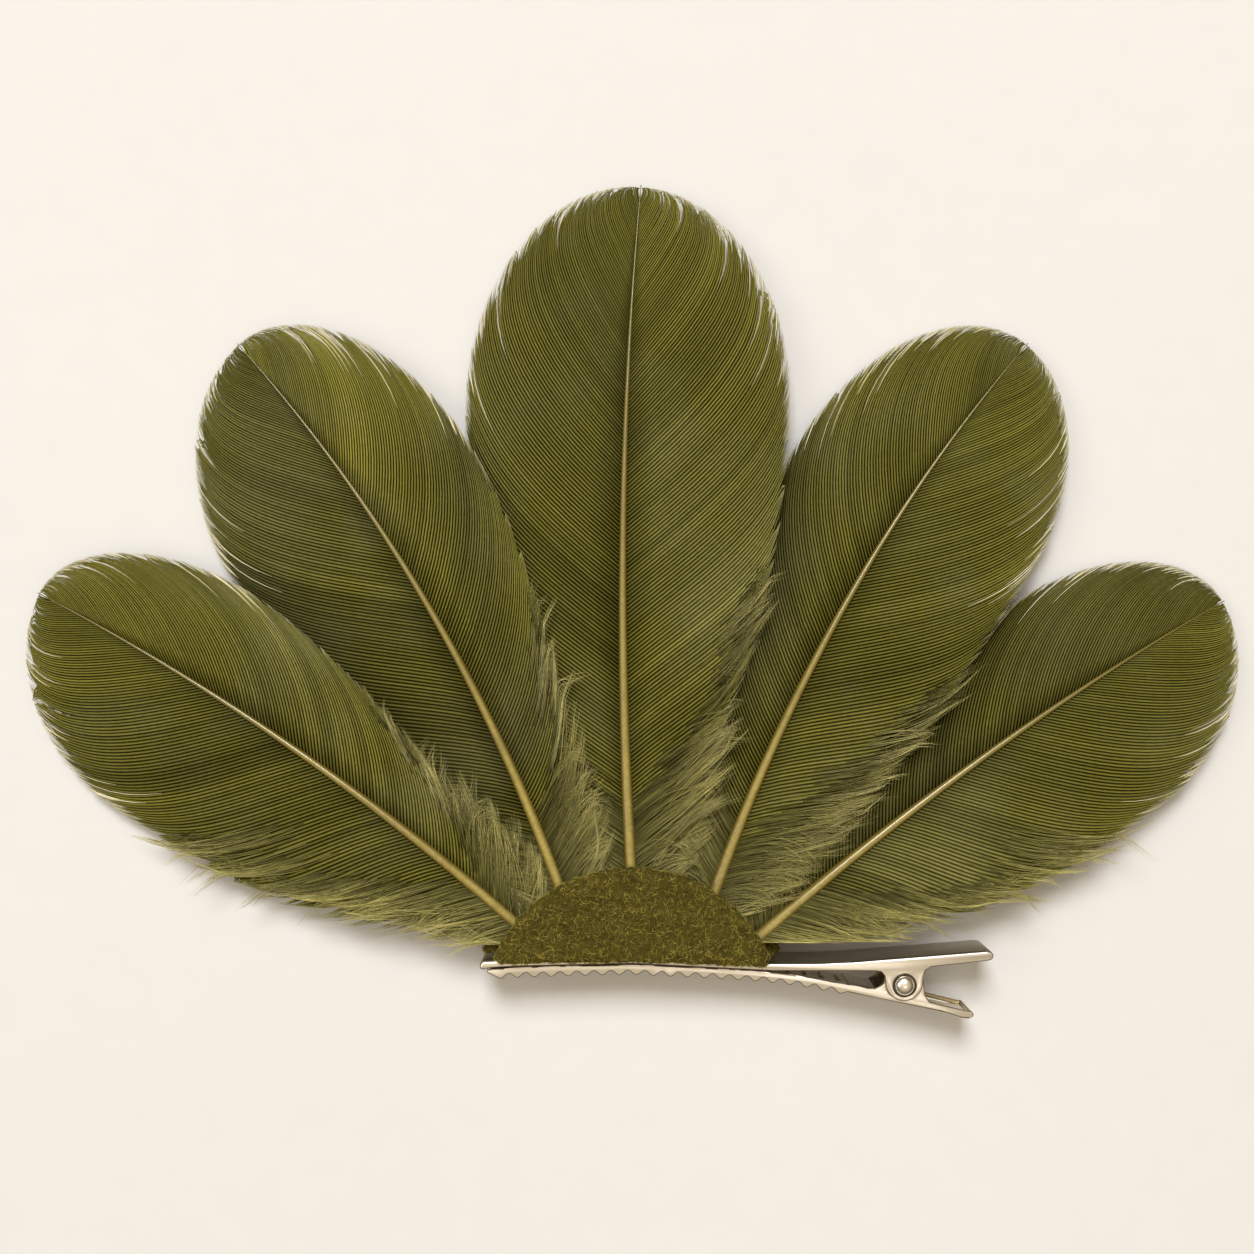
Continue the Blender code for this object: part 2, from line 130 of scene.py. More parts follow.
LOWER_HANDLE_END = [(9.95, -3.95), (10.25, -4.35), (10.1, -4.75), (9.5, -4.95)]
LOWER_UNDERSIDE = [(8.45, -4.84), (5.5, -3.94), (-2.85, -2.26), (-8.2, -1.09)]
JAW_HOLLOW_START = -60.5
JAW_HOLLOW_END = -7.6
JAW_HOLLOW_BOTTOM = -4.0
HANDLE_HOLLOW_START = [(-4.6, 0.1), (-3.3, -1.66)]
HANDLE_FLOOR_AT = (-2.85, 5.5, 8.45)
HANDLE_HOLLOW_END = [(9.5, -4.4), (9.75, -3.2)]
HANDLE_HOLLOW_TOP = 5.0
TOOTH_FIRST = -59.0
TOOTH_LAST = -9.3
TOOTH_COUNT = 21
TOOTH_STEPS = 8
TOOTH_MEAN_DEPTH = 1.16
TOOTH_SWING = 0.35
JAW_END_DEPTH = 0.85
JAW_END_REACH = 1.1
RIDGE_HEIGHT = 0.32
RIDGE_HALF = 0.42
RIDGE_FOOT = 0.25
RIDGE_BACK = 3.4
RIDGE_FRONT = 7.1

# Where the sheet is folded over: how near its outline, and between which ends
FOLD_REACH = 0.08
UPPER_FOLD = (-61.9, 12.5)
LOWER_FOLD_CHANGES = -8.0
LOWER_BEND_SHARE = 0.6
BEND_STEPS = 5

# Painted shade on the steel: a dark line on the rounded cut edges, and a darker colour inside the channels
# and, at a share, on the web's top
EDGE_SHADE = (0.17, 0.13, 0.085)
SHADED_STEEL = (0.21, 0.165, 0.085)
WEB_SHADE = 0.7

# Rivet and spring
SHAFT_RADIUS = 1.0
HOLE_RADIUS = 1.3
TAIL_RADIUS = 1.9
TAIL_THICKNESS = 0.3
TAIL_CHAMFER = 0.1
HEAD_RADIUS = 1.42
HEAD_BASE = 10.0
HEAD_HEIGHT = 0.85
HEAD_EDGE = 0.05
HEAD_STEPS = 14
ROUND_SIDES = 64
SINK_RADIUS = 1.65
SINK_DEPTH = 0.3
COIL_RADIUS = 1.62
WIRE_RADIUS = 0.2
COIL_PITCH = 0.52
COIL_BACK = 3.9
COIL_STEPS_PER_TURN = 28
UPPER_LEG_ANGLE = 15.0
LOWER_LEG_ANGLE = -13.6
WHOLE_TURNS = 4
LEG_LENGTH = 7.6
LEG_START = 0.6
LEG_STEPS = 12

# Felts
FELT_CENTRE = -39.8
FELT_ARC_STEPS = 60
FELT_WAVES = 26
FELT_WAVE_HEIGHT = 0.024
COVER_RADIUS = 21.75
COVER_TOP = 17.3
COVER_SPREAD = 66.0
COVER_EDGE = [(-58.9, 3.5), (-49.0, 3.66), (-39.8, 3.74), (-29.0, 3.45), (-20.3, 2.95)]
COVER_BACK = 10.15
COVER_FRONT = 12.35
BACKING_RADIUS = 28.15
BACKING_TOP = 15.5
BACKING_SPREAD = 51.5
BACKING_EDGE = [(-61.6, 4.1), (-56.0, 4.2), (-48.0, 4.45), (-40.0, 4.5), (-30.0, 4.15), (-19.0, 3.6)]
BACKING_BACK = 5.6
BACKING_FRONT = 7.4

# Feathers, as in the solids. Pairs are for the left and the right side of a feather that points up:
# the vane's width and fullness, the reach of the down at its foot, the share of the vane that is loose,
# and how brightly the barbs catch the light
FEATHERS = {
    "feather_outer_left": {
        "foot": (-57.0, 9.2),
        "tip": (-128.8, 57.3),
        "bow": 2.7,
        "tuck": 6.0,
        "drop": 6.9,
        "width": (22.8, 15.8),
        "fullness": (2.9, 1.6),
        "low": 5.2,
        "down": (12.5, 15.0),
        "loose": (0.5, 0.36),
        "sheen": (0.9, 1.2),
        "seed": 11,
    },
    "feather_inner_left": {
        "foot": (-50.6, 14.9),
        "tip": (-98.9, 94.7),
        "bow": 4.5,
        "tuck": 9.0,
        "drop": 7.1,
        "width": (23.0, 18.2),
        "fullness": (3.0, 1.6),
        "low": 5.2,
        "down": (15.0, 15.0),
        "loose": (0.3, 0.36),
        "sheen": (0.82, 1.35),
        "seed": 12,
    },
    "feather_centre": {
        "foot": (-39.9, 17.0),
        "tip": (-38.4, 118.5),
        "bow": -1.9,
        "tuck": 10.0,
        "drop": 7.3,
        "width": (24.2, 24.2),
        "fullness": (2.2, 2.2),
        "low": 5.2,
        "down": (15.0, 17.5),
        "loose": (0.3, 0.38),
        "sheen": (0.9, 1.1),
        "seed": 13,
    },
    "feather_inner_right": {
        "foot": (-27.2, 14.8),
        "tip": (19.7, 94.8),
        "bow": -4.3,
        "tuck": 9.0,
        "drop": 7.5,
        "width": (18.6, 21.0),
        "fullness": (1.6, 3.0),
        "low": 5.2,
        "down": (15.0, 18.0),
        "loose": (0.32, 0.4),
        "sheen": (1.0, 1.05),
        "seed": 14,
    },
    "feather_outer_right": {
        "foot": (-19.8, 8.2),
        "tip": (49.3, 56.1),
        "bow": -2.2,
        "tuck": 4.0,
        "drop": 7.7,
        "width": (16.2, 21.0),
        "fullness": (1.6, 2.9),
        "low": 6.1,
        "down": (15.0, 13.0),
        "loose": (0.3, 0.5),
        "sheen": (0.82, 1.06),
        "seed": 15,
    },
}

# Which feathers lie over each one, by the side of their rim that shows; beside that rim a painted shadow
# darkens the barbs
COVERED_BY = {
    "feather_inner_left": [("feather_centre", -1), ("feather_outer_left", 1)],
    "feather_inner_right": [("feather_centre", 1)],
    "feather_outer_right": [("feather_inner_right", 1)],
}
RIM_SHADOW = 0.42
RIM_SHADOW_REACH = 5.5

# Quills: height over the floor, and radius by share of the length
QUILL_HEIGHT = 8.8
QUILL_RADII = [
    (-0.2, 0.95),
    (0.0, 0.95),
    (0.16, 0.8),
    (0.34, 0.65),
    (0.55, 0.49),
    (0.77, 0.27),
    (1.0, 0.07),
]
QUILL_STEPS = 70
QUILL_TIP = 1.003
QUILL_RISE = 0.28

# Vanes: how the surface lies and the outline runs
VANE_CAMBER = 0.9
VANE_ROLL = 0.06
FOOT_ROLL = 0.07
RESTING = 0.235
RESTING_SOFTNESS = 0.25
WIDEST = 0.68
OUTLINE_START = -0.06
SHARE_AT_WIDEST = 0.61
BARB_ANGLE = 52.0
BARB_ROOT_START = -0.1
BARB_ROOT_SPAN = 0.8
BARB_ROOT_TIP_SPAN = 0.28
BARB_TIP_POWER = 9
RESTING_LIFT = 0.12

# Barbs bend away from the clip between these ends, and hang lower beyond them
CLIP_LEFT = -62.5
CLIP_RIGHT = 13.5
CLIP_FADE = 6.0
CLIP_SOFTNESS = 1.6
LOWER_BEYOND = 4.0

# Locks and hairs
SHORT_DOWN = 14.0
SHARE_TABLE = np.linspace(0, 1, 4000)
VANE_START = 0.045
VANE_START_SHORT = 0.11
VANE_END = 0.997
LAST_BARB = 0.9995
LOCKS = 58
LOCKS_SHORT = 38
LOCK_PULL = 0.84
BARB_RINGS = 15
BARB_OVERLAP = 1.03
BARB_UNDER = 0.08
FRINGE_RINGS = 6
FRINGE_RADIUS = 0.045
DOWN_RINGS = 8
DOWN_FULLNESS = 8.5
DOWN_BRIGHTER = 1.35
WISP_RINGS = 9
WISP_STRANDS = 10
WISP_FULLNESS = 6.0
WISP_LONGER = 0.1
NAP_RINGS = 4
NAP_RADIUS = 0.034

# Stage, in metres and watts
FLOOR_HALF = 5.0
FLOOR_DROP = 0.0003
LIGHTS = [
    ("key", (-0.3, 1.5, 2.35), 0.95, 61.0, (0.98, 0.985, 1.0)),
    ("fill", (-2.0, 0.3, 1.9), 1.6, 12.0, (1.0, 0.98, 0.95)),
    ("glint", (0.22, -0.34, 1.45), 0.28, 0.6, (1.0, 0.98, 0.95)),
]
ROOM_LOW = (0.08, 0.058, 0.032)
ROOM_HIGH = (0.70, 0.58, 0.405)
BACKDROP = (0.80, 0.765, 0.70)


def length_setting(name, description, default):
    """A length that can be changed, given in millimetres."""
    return bpy.props.FloatProperty(name=name, description=description, default=default * MM, unit="LENGTH")


def count_setting(name, description, default, least=0):
    """A whole number that can be changed."""
    return bpy.props.IntProperty(name=name, description=description, default=default, min=least)


def colour_setting(name, description, default):
    """A colour that can be changed."""
    return bpy.props.FloatVectorProperty(name=name, description=description, default=default, subtype="COLOR")


class ClipSizes(bpy.types.PropertyGroup):
    """Sizes of the pressed steel and the felts."""

    bend: length_setting("Bend", "Outer radius of the folded edges", 0.4)
    edge: length_setting("Cut edge", "Rounding of the cut edges", 0.13)
    felt_rounding: length_setting("Felt edge", "Rounding of the felt's cut edge", 0.75)
    felt_grid: length_setting("Felt grid", "Size of the felt's mesh", 0.26)
    nap: count_setting("Nap", "Loose fibres on the cover felt", 9000)
    nap_length: length_setting("Nap length", "Length of a loose fibre", 1.05)


class FeatherSizes(bpy.types.PropertyGroup):
    """How the vanes and the down are made up."""

    spacing: length_setting("Barb spacing", "From barb to barb along a quill", 0.62)
    ridge: length_setting("Ridge", "Height of a barb's crest", 0.2)
    splits: count_setting("Splits", "Places where a vane has come unzipped, on each side", 24)
    fringe: count_setting("Fringe", "Fine hairs along the rim, on each side", 190)
    tufts: count_setting("Tufts", "Tufts of down on each side of a quill", 42)
    wisps: count_setting("Wisps", "Long locks past the rim, on each side", 18)
    strands: count_setting("Strands", "Strands in a tuft", 20, least=1)
    strand: length_setting("Strand", "Radius of a strand of down", 0.055)


class ClipColours(bpy.types.PropertyGroup):
    """Base colours, in linear light."""

    crest: colour_setting("Barb crest", "Dyed barb", (0.218, 0.202, 0.034))
    # Painted shade between the barbs
    valley_shade: colour_setting("Barb valley", "Between barbs", (0.021, 0.018, 0.001))
    # Painted sheen: lighter, greyer patches where a vane catches the light
    sheen_patch: colour_setting("Bloom", "Greyer patches on a vane", (0.185, 0.178, 0.066))
    # Thin barb ends are paler; on hairs at the rim and in the splits this pale is partly painted light
    tip: colour_setting("Barb tip", "Thin ends of barbs", (0.86, 0.80, 0.56))
    down: colour_setting("Down", "Loose down at the foot", (0.44, 0.40, 0.165))
    quill: colour_setting("Quill", "Dyed shaft", (0.47, 0.365, 0.095))
    felt: colour_setting("Felt", "Matted wool", (0.138, 0.112, 0.018))
    nickel: colour_setting("Nickel", "Plated steel", (0.92, 0.875, 0.79))
    floor: colour_setting("Floor", "Pale surface", (0.805, 0.80, 0.79))


def sizes(context):
    """The clip's sizes."""
    return context.scene.clip_sizes


def feather_sizes(context):
    """The feathers' sizes."""
    return context.scene.feather_sizes


def colours(context):
    """The base colours."""
    return context.scene.clip_colours


# Node groups and materials


def new_group(name, inputs, outputs):
    """A shader node group with named inputs and outputs, all plain values."""
    group = bpy.data.node_groups.new(name, "ShaderNodeTree")
    for label, value in inputs.items():
        socket = group.interface.new_socket(label, in_out="INPUT", socket_type="NodeSocketFloat")
        socket.default_value = value
    for label in outputs:
        group.interface.new_socket(label, in_out="OUTPUT", socket_type="NodeSocketFloat")
    entry = group.nodes.new("NodeGroupInput")
    leave = group.nodes.new("NodeGroupOutput")
    return group, entry, leave


def feed(tree, socket, value):
    """Give a socket a number, a colour or the value of another socket."""
    if isinstance(value, (int, float)):
        socket.default_value = value
    elif isinstance(value, tuple):
        socket.default_value = (*value, 1.0)
    else:
        tree.links.new(value, socket)


def noise_at(tree, place, scale, detail, rough=0.5):
    """A noise texture."""
    noise = tree.nodes.new("ShaderNodeTexNoise")
    for label, value in (("Vector", place), ("Scale", scale), ("Detail", detail), ("Roughness", rough)):
        feed(tree, noise.inputs[label], value)
    return noise.outputs["Fac"]


def math_node(tree, operation, first, second):
    """A Math node whose inputs are sockets or numbers."""
    node = tree.nodes.new("ShaderNodeMath")
    node.operation = operation
    feed(tree, node.inputs[0], first)
    feed(tree, node.inputs[1], second)
    return node.outputs[0]


def map_range(tree, value, low, high, to_low, to_high):
    """A clamped Map Range node."""
    node = tree.nodes.new("ShaderNodeMapRange")
    tree.links.new(value, node.inputs["Value"])
    for label, number in (("From Min", low), ("From Max", high), ("To Min", to_low), ("To Max", to_high)):
        node.inputs[label].default_value = number
    return node.outputs["Result"]


def mix_colours(tree, share, first, second, blend="MIX"):
    """A Mix node for colours; each input is a socket or a colour."""
    node = tree.nodes.new("ShaderNodeMix")
    node.data_type = "RGBA"
    node.blend_type = blend
    for socket, value in ((node.inputs["Factor"], share), (node.inputs[6], first), (node.inputs[7], second)):
        feed(tree, socket, value)
    return node.outputs[2]


def dye_group():
    """Uneven dye: broad patches and fine flecks, as one value round 1."""
    group, entry, leave = new_group(
        "uneven_dye",
        {"Broad": 60.0, "Fine": 900.0, "Strength": 0.3},
        ("Value", "Height"),
    )
    place = group.nodes.new("ShaderNodeTexCoord").outputs["Object"]
    broad, fine = (noise_at(group, place, entry.outputs[label], 3.0) for label in ("Broad", "Fine"))
    centred = math_node(group, "SUBTRACT", math_node(group, "ADD", broad, fine), 1.0)
    scaled = math_node(group, "MULTIPLY", centred, entry.outputs["Strength"])
    group.links.new(math_node(group, "ADD", scaled, 1.0), leave.inputs["Value"])
    group.links.new(fine, leave.inputs["Height"])
    return group


def wear_group():
    """Rubbed metal: fine scratches along X, smudges, and a brighter value where it is rubbed."""
    group, entry, leave = new_group(
        "rubbed_metal",
        {"Scratch": 2600.0, "Smudge": 170.0, "Strength": 0.12},
        ("Tone", "Roughness", "Height"),
    )
    place = group.nodes.new("ShaderNodeTexCoord").outputs["Object"]
    stretch = group.nodes.new("ShaderNodeMapping")
    stretch.inputs["Scale"].default_value = (0.04, 1.0, 1.0)
    group.links.new(place, stretch.inputs["Vector"])
    scratch = noise_at(group, stretch.outputs["Vector"], entry.outputs["Scratch"], 3.0)
    smudge = noise_at(group, place, entry.outputs["Smudge"], 5.0)
    swing = math_node(group, "SUBTRACT", smudge, 0.5)
    tone = math_node(group, "MULTIPLY", swing, entry.outputs["Strength"])
    group.links.new(math_node(group, "ADD", tone, 1.0), leave.inputs["Tone"])
    lines = math_node(group, "MULTIPLY", scratch, entry.outputs["Strength"])
    group.links.new(math_node(group, "ADD", lines, tone), leave.inputs["Roughness"])
    group.links.new(scratch, leave.inputs["Height"])
    return group


def use_group(tree, group, **values):
    """A group in a material, with its own values."""
    node = tree.nodes.new("ShaderNodeGroup")
    node.node_tree = bpy.data.node_groups[group]
    for label, value in values.items():
        node.inputs[label].default_value = value
    return node


def painted(tree, layer):
    """A mesh's painted shades: their node, and the channels apart."""
    node = tree.nodes.new("ShaderNodeAttribute")
    node.attribute_name = layer
    parts = tree.nodes.new("ShaderNodeSeparateColor")
    tree.links.new(node.outputs["Color"], parts.inputs["Color"])
    return node, parts


def principled(name, roughness, metallic=0.0, specular=0.5):
    """A material, its tree and its Principled shader."""
    made = bpy.data.materials.new(name)
    made.use_nodes = True
    shader = made.node_tree.nodes["Principled BSDF"]
    shader.inputs["Roughness"].default_value = roughness
    shader.inputs["Metallic"].default_value = metallic
    shader.inputs["Specular IOR Level"].default_value = specular
    return made, made.node_tree, shader


def bump(tree, shader, height, strength, distance):
    """Feed a height to the shader's normal."""
    node = tree.nodes.new("ShaderNodeBump")
    node.inputs["Strength"].default_value = strength
    node.inputs["Distance"].default_value = distance
    tree.links.new(height, node.inputs["Height"])
    tree.links.new(node.outputs["Normal"], shader.inputs["Normal"])


def scaled_colour(tree, colour, value):
    """A colour times a value."""
    grey = tree.nodes.new("ShaderNodeCombineColor")
    for socket in grey.inputs:
        tree.links.new(value, socket)
    return mix_colours(tree, 1.0, colour, grey.outputs["Color"], "MULTIPLY")


def barb_material(context):
    """Dyed barbs: crest, and valley in painted shade; tone of each barb; painted sheen patches; thin pale
    ends.
    """
    tint = colours(context)
    made, tree, shader = principled("dyed_barbs", 0.52, specular=0.07)
    shade, parts = painted(tree, "shade")
    body = mix_colours(tree, parts.outputs["Red"], tuple(tint.valley_shade), tuple(tint.crest))
    dye = use_group(tree, "uneven_dye", Broad=55.0, Fine=1400.0, Strength=0.55)
    place = tree.nodes.new("ShaderNodeTexCoord").outputs["Object"]
    # Painted sheen: broad noise picks lighter, greyer patches
    sheen_patch = map_range(tree, noise_at(tree, place, 46.0, 2.0, 0.55), 0.45, 0.68, 0.0, 0.52)
    body = mix_colours(tree, sheen_patch, body, tuple(tint.sheen_patch))
    body = mix_colours(tree, shade.outputs["Alpha"], body, tuple(tint.down))
    tone = math_node(tree, "MULTIPLY", parts.outputs["Green"], dye.outputs["Value"])
    body = scaled_colour(tree, body, tone)
    colour = mix_colours(tree, parts.outputs["Blue"], body, tuple(tint.tip))
    tree.links.new(colour, shader.inputs["Base Color"])
    tree.links.new(map_range(tree, dye.outputs["Height"], 0.3, 0.7, 0.42, 0.62), shader.inputs["Roughness"])
    bump(tree, shader, dye.outputs["Height"], 0.25, 0.00005)
    return made


def strand_material(name, roughness, dye, body, pale):
    """Fine strands from a body colour to a pale one, each a little lighter or darker than the next."""
    made, tree, shader = principled(name, roughness, specular=0.15)
    _, parts = painted(tree, "shade")
    uneven = use_group(tree, "uneven_dye", **dye)
    mixed = mix_colours(tree, parts.outputs["Blue"], body, pale)
    tone = math_node(tree, "MULTIPLY", parts.outputs["Green"], uneven.outputs["Value"])
    tree.links.new(scaled_colour(tree, mixed, tone), shader.inputs["Base Color"])
    return made


def down_material(context):
    """Soft down: paler and greyer than the barbs."""
    tint = colours(context)
    dye = {"Broad": 90.0, "Fine": 1200.0, "Strength": 0.4}
    return strand_material("soft_down", 0.75, dye, tuple(tint.crest), tuple(tint.down))


def fibre_material(context):
    """Loose wool fibres in the felt's colour."""
    felt = tuple(colours(context).felt)
    dye = {"Broad": 300.0, "Fine": 2000.0, "Strength": 0.3}
    return strand_material("wool_fibre", 0.8, dye, felt, tuple(1.9 * c + 0.012 for c in felt))


def quill_material(context):
    """Horny shaft: tan with olive dye in the low places, glossy, and its sides darker than its top as painted
    shade.
    """
    tint = colours(context)
    made, tree, shader = principled("dyed_quill", 0.32, specular=0.35)
    dye = use_group(tree, "uneven_dye", Broad=140.0, Fine=1500.0, Strength=0.5)
    shade = map_range(tree, dye.outputs["Value"], 0.85, 1.15, 0.0, 1.0)
    dark = tuple(0.62 * c for c in tint.quill)
    body = mix_colours(tree, shade, dark, tuple(tint.quill))
    _, parts = painted(tree, "shade")
    thin = tuple(c * k for c, k in zip(tint.quill, (0.37, 0.4, 0.3)))
    body = mix_colours(tree, parts.outputs["Red"], body, thin)
    # Painted shade: the quill's sides take a darker colour
    side = tuple(c * k for c, k in zip(tint.quill, (0.25, 0.23, 0.1)))
    body = mix_colours(tree, parts.outputs["Green"], side, body)
    tree.links.new(body, shader.inputs["Base Color"])
    tree.links.new(map_range(tree, dye.outputs["Height"], 0.3, 0.7, 0.24, 0.3), shader.inputs["Roughness"])
    shader.inputs["Coat Weight"].default_value = 0.5
    shader.inputs["Coat Roughness"].default_value = 0.15
    bump(tree, shader, dye.outputs["Height"], 0.04, 0.00005)
    return made


def felt_material(context, name, depth):
    """Matted wool: mottled dye and a rough nap; depth scales its colour, painting the felt under the loose
    fibres darker as shade between them.
    """
    tint = colours(context)
    made, tree, shader = principled(name, 0.95, specular=0.1)
    dye = use_group(tree, "uneven_dye", Broad=420.0, Fine=2600.0, Strength=1.2)
    # Painted shade: the felt under its nap is darker than the wool's colour
    colour = tuple(depth * c for c in tint.felt)
    tree.links.new(scaled_colour(tree, colour, dye.outputs["Value"]), shader.inputs["Base Color"])
    tree.links.new(map_range(tree, dye.outputs["Height"], 0.3, 0.7, 0.85, 1.0), shader.inputs["Roughness"])
    bump(tree, shader, dye.outputs["Height"], 0.8, 0.00012)
    return made


def nickel_material(context, name, roughness, tone):
    """Satin nickel plate with fine scratches and rubbed patches, and painted shade where the attribute "cut"
    marks it: a dark line on rounded edges, the inside of the channels and the web's top.
    """
    tint = colours(context)
    made, tree, shader = principled(name, roughness, 1.0)
    wear = use_group(tree, "rubbed_metal", Scratch=2600.0, Smudge=170.0, Strength=0.14)
    colour = tuple(tone * c for c in tint.nickel)
    _, parts = painted(tree, "cut")
    body = scaled_colour(tree, colour, wear.outputs["Tone"])
    # Painted shade: the rounded edges marked in red turn to a dark line
    body = mix_colours(tree, parts.outputs["Red"], body, EDGE_SHADE)
    # Painted shade: the inside of the channels and the web's top, marked in green, take a darker colour
    body = mix_colours(tree, parts.outputs["Green"], body, SHADED_STEEL)
    tree.links.new(body, shader.inputs["Base Color"])
    rough = math_node(tree, "ADD", wear.outputs["Roughness"], roughness)
    tree.links.new(rough, shader.inputs["Roughness"])
    bump(tree, shader, wear.outputs["Height"], 0.12, 0.00002)
    return made


def floor_material(context):
    """Pale paper with a very faint tooth."""
    tint = colours(context)
    made, tree, shader = principled("pale_floor", 0.9)
    dye = use_group(tree, "uneven_dye", Broad=9.0, Fine=160.0, Strength=0.035)
    tree.links.new(scaled_colour(tree, tuple(tint.floor), dye.outputs["Value"]), shader.inputs["Base Color"])
    return made


# Mesh helpers


def add(name, data):
    """A new object in the scene."""
    made = bpy.data.objects.new(name, data)
    bpy.context.scene.collection.objects.link(made)
    return made


def put(name, mesh, finish, body, slot, *nodes):
    """Add a finished piece that rides on a body and stands for CAD nodes."""
    piece = add(name, mesh)
    mesh.materials.clear()
    mesh.materials.append(finish)
    if body:
        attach(piece, body)
    if nodes:
        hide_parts(*nodes)
    return piece


def points_and_normals(mesh):
    """Places of a mesh's vertices in metres, and their normals."""
    places = np.empty(len(mesh.vertices) * 3)
    normals = np.empty(len(mesh.vertices) * 3)
    mesh.vertices.foreach_get("co", places)
    mesh.vertex_normals.foreach_get("vector", normals)
    return places.reshape(-1, 3), normals.reshape(-1, 3)


def arc(centre_x, centre_y, radius, start, end, steps):
    """Points on a circle, angles in degrees, both ends included."""
    angles = np.radians(np.linspace(start, end, steps + 1))
    return [(centre_x + radius * math.cos(a), centre_y + radius * math.sin(a)) for a in angles]


def along(points, x):
    """Height of a line through points at x."""
    ordered = sorted(points)
    return float(np.interp(x, [p[0] for p in ordered], [p[1] for p in ordered]))


def smooth_line(points, step=0.8):
    """A gentle curve through points in order of x."""
    xs = np.array([p[0] for p in points])
    ys = np.array([p[1] for p in points])
    slopes = np.gradient(ys, xs)
    made = []
    for i in range(len(xs) - 1):
        width = xs[i + 1] - xs[i]
        count = max(1, int(width / step))
        for t in np.arange(count) / count:
            a = (1 + 2 * t) * (1 - t) ** 2
            b = t * (1 - t) ** 2 * width
            c = t * t * (3 - 2 * t)
            d = t * t * (t - 1) * width
            height = a * ys[i] + b * slopes[i] + c * ys[i + 1] + d * slopes[i + 1]
            made.append((float(xs[i] + width * t), float(height)))
    made.append((float(xs[-1]), float(ys[-1])))
    return made


def prism(outline, back, front):
    """A bmesh of an outline extruded from back to front."""
    shape = bmesh.new()
    corners = [shape.verts.new((x * MM, y * MM, back * MM)) for x, y in outline]
    cap = shape.faces.new(corners)
    made = bmesh.ops.extrude_face_region(shape, geom=[cap])["geom"]
    raised = [g for g in made if isinstance(g, bmesh.types.BMVert)]
    bmesh.ops.translate(shape, verts=raised, vec=(0, 0, (front - back) * MM))
    bmesh.ops.recalc_face_normals(shape, faces=shape.faces)
    return shape


def mesh_of(shape, name, smooth=True, sharp=32.0):
    """Turn a bmesh into a mesh, shaded smooth with sharp edges kept."""
    mesh = bpy.data.meshes.new(name)
    shape.to_mesh(mesh)
    shape.free()
    if smooth:
        mesh.shade_smooth()
        mesh.set_sharp_from_angle(angle=math.radians(sharp))
    return mesh


def evaluated(piece):
    """The mesh of an object with its modifiers or its bevel applied."""
    graph = bpy.context.evaluated_depsgraph_get()
    return bpy.data.meshes.new_from_object(piece.evaluated_get(graph))


def boolean(mesh, cutters, name):
    """Cut or join meshes exactly and return the result; cutters are (mesh, operation)."""
    base = add(name, mesh)
    tools = []
    for cutter, operation in cutters:
        tool = add(name + "_tool", cutter)
        step = base.modifiers.new("cut", "BOOLEAN")
        step.operation = operation
        step.object = tool
        step.solver = "EXACT"
        tools.append(tool)
    result = evaluated(base)
    for item in [base] + tools:
        bpy.data.objects.remove(item)
    result.name = name
    return result


def bevel(shape, edges, width, segments, clamp=False):
    """Round edges of a bmesh; returns the new faces."""
    made = bmesh.ops.bevel(
        shape,
        geom=edges,
        offset=width,
        segments=segments,
        profile=0.5,
        affect="EDGES",
        material=-1,
        clamp_overlap=clamp,
    )
    return made["faces"]


def ease_edges(mesh, width, web_shade=0.0):
    """Round the sharp cut edges of a pressed piece and shade it smooth.

    The attribute "cut" marks the rounded edges in red, for a painted dark edge line, and in green the inside
    of the channels and the web's top, for painted shade.
    """
    shape = bmesh.new()
    shape.from_mesh(mesh)
    bmesh.ops.remove_doubles(shape, verts=shape.verts, dist=0.03 * MM)
    bmesh.ops.dissolve_limit(shape, angle_limit=math.radians(1.5), verts=shape.verts, edges=shape.edges)
    sharp = [e for e in shape.edges if len(e.link_faces) == 2 and e.calc_face_angle() > math.radians(50)]
    rounded = set(bevel(shape, sharp, width, 2))
    cut = shape.loops.layers.float_color.new("cut")
    front = max(v.co.z for v in shape.verts)
    # Painted shade: faces inside the channels, behind the front, and at a share the web's top
    for face in shape.faces:
        inner = face.normal.z > 0.9 and face.calc_center_median().z < front - MM
        above = face.normal.y > 0.6 and face.calc_area() > MM * MM
        mark = (float(face in rounded), max(float(inner), web_shade * above), 0.0, 1.0)
        for loop in face.loops:
            loop[cut] = mark
    shape.to_mesh(mesh)
    shape.free()
    mesh.shade_smooth()
    mesh.set_sharp_from_angle(angle=math.radians(40))
    return mesh


def swept(name, points, radii, resolution, twist):
    """A closed tube along points in millimetres, from a bevelled curve."""
    curve = bpy.data.curves.new(name, "CURVE")
    curve.dimensions = "3D"
    curve.twist_mode = twist
    curve.bevel_depth = MM
    curve.bevel_resolution = resolution
    curve.use_fill_caps = True
    spline = curve.splines.new("POLY")
    spline.points.add(len(points) - 1)
    for point, place, radius in zip(spline.points, points, radii):
        point.co = (*(Vector(place) * MM), 1.0)
        point.radius = float(radius)
    line = add(name, curve)
    made = evaluated(line)
    bpy.data.objects.remove(line)
    shape = bmesh.new()
    shape.from_mesh(made)
    bmesh.ops.remove_doubles(shape, verts=shape.verts, dist=0.002 * MM)
    bmesh.ops.recalc_face_normals(shape, faces=shape.faces)
    return mesh_of(shape, name, sharp=60)


def cylinder(radius, back, front):
    """A round cutter on the pivot's axis."""
    shape = bmesh.new()
    bmesh.ops.create_cone(
        shape,
        cap_ends=True,
        segments=ROUND_SIDES,
        radius1=radius * MM,
        radius2=radius * MM,
        depth=(front - back) * MM,
    )
    bmesh.ops.translate(shape, verts=shape.verts, vec=(0, 0, (front + back) / 2 * MM))
    return mesh_of(shape, "bore", smooth=False)


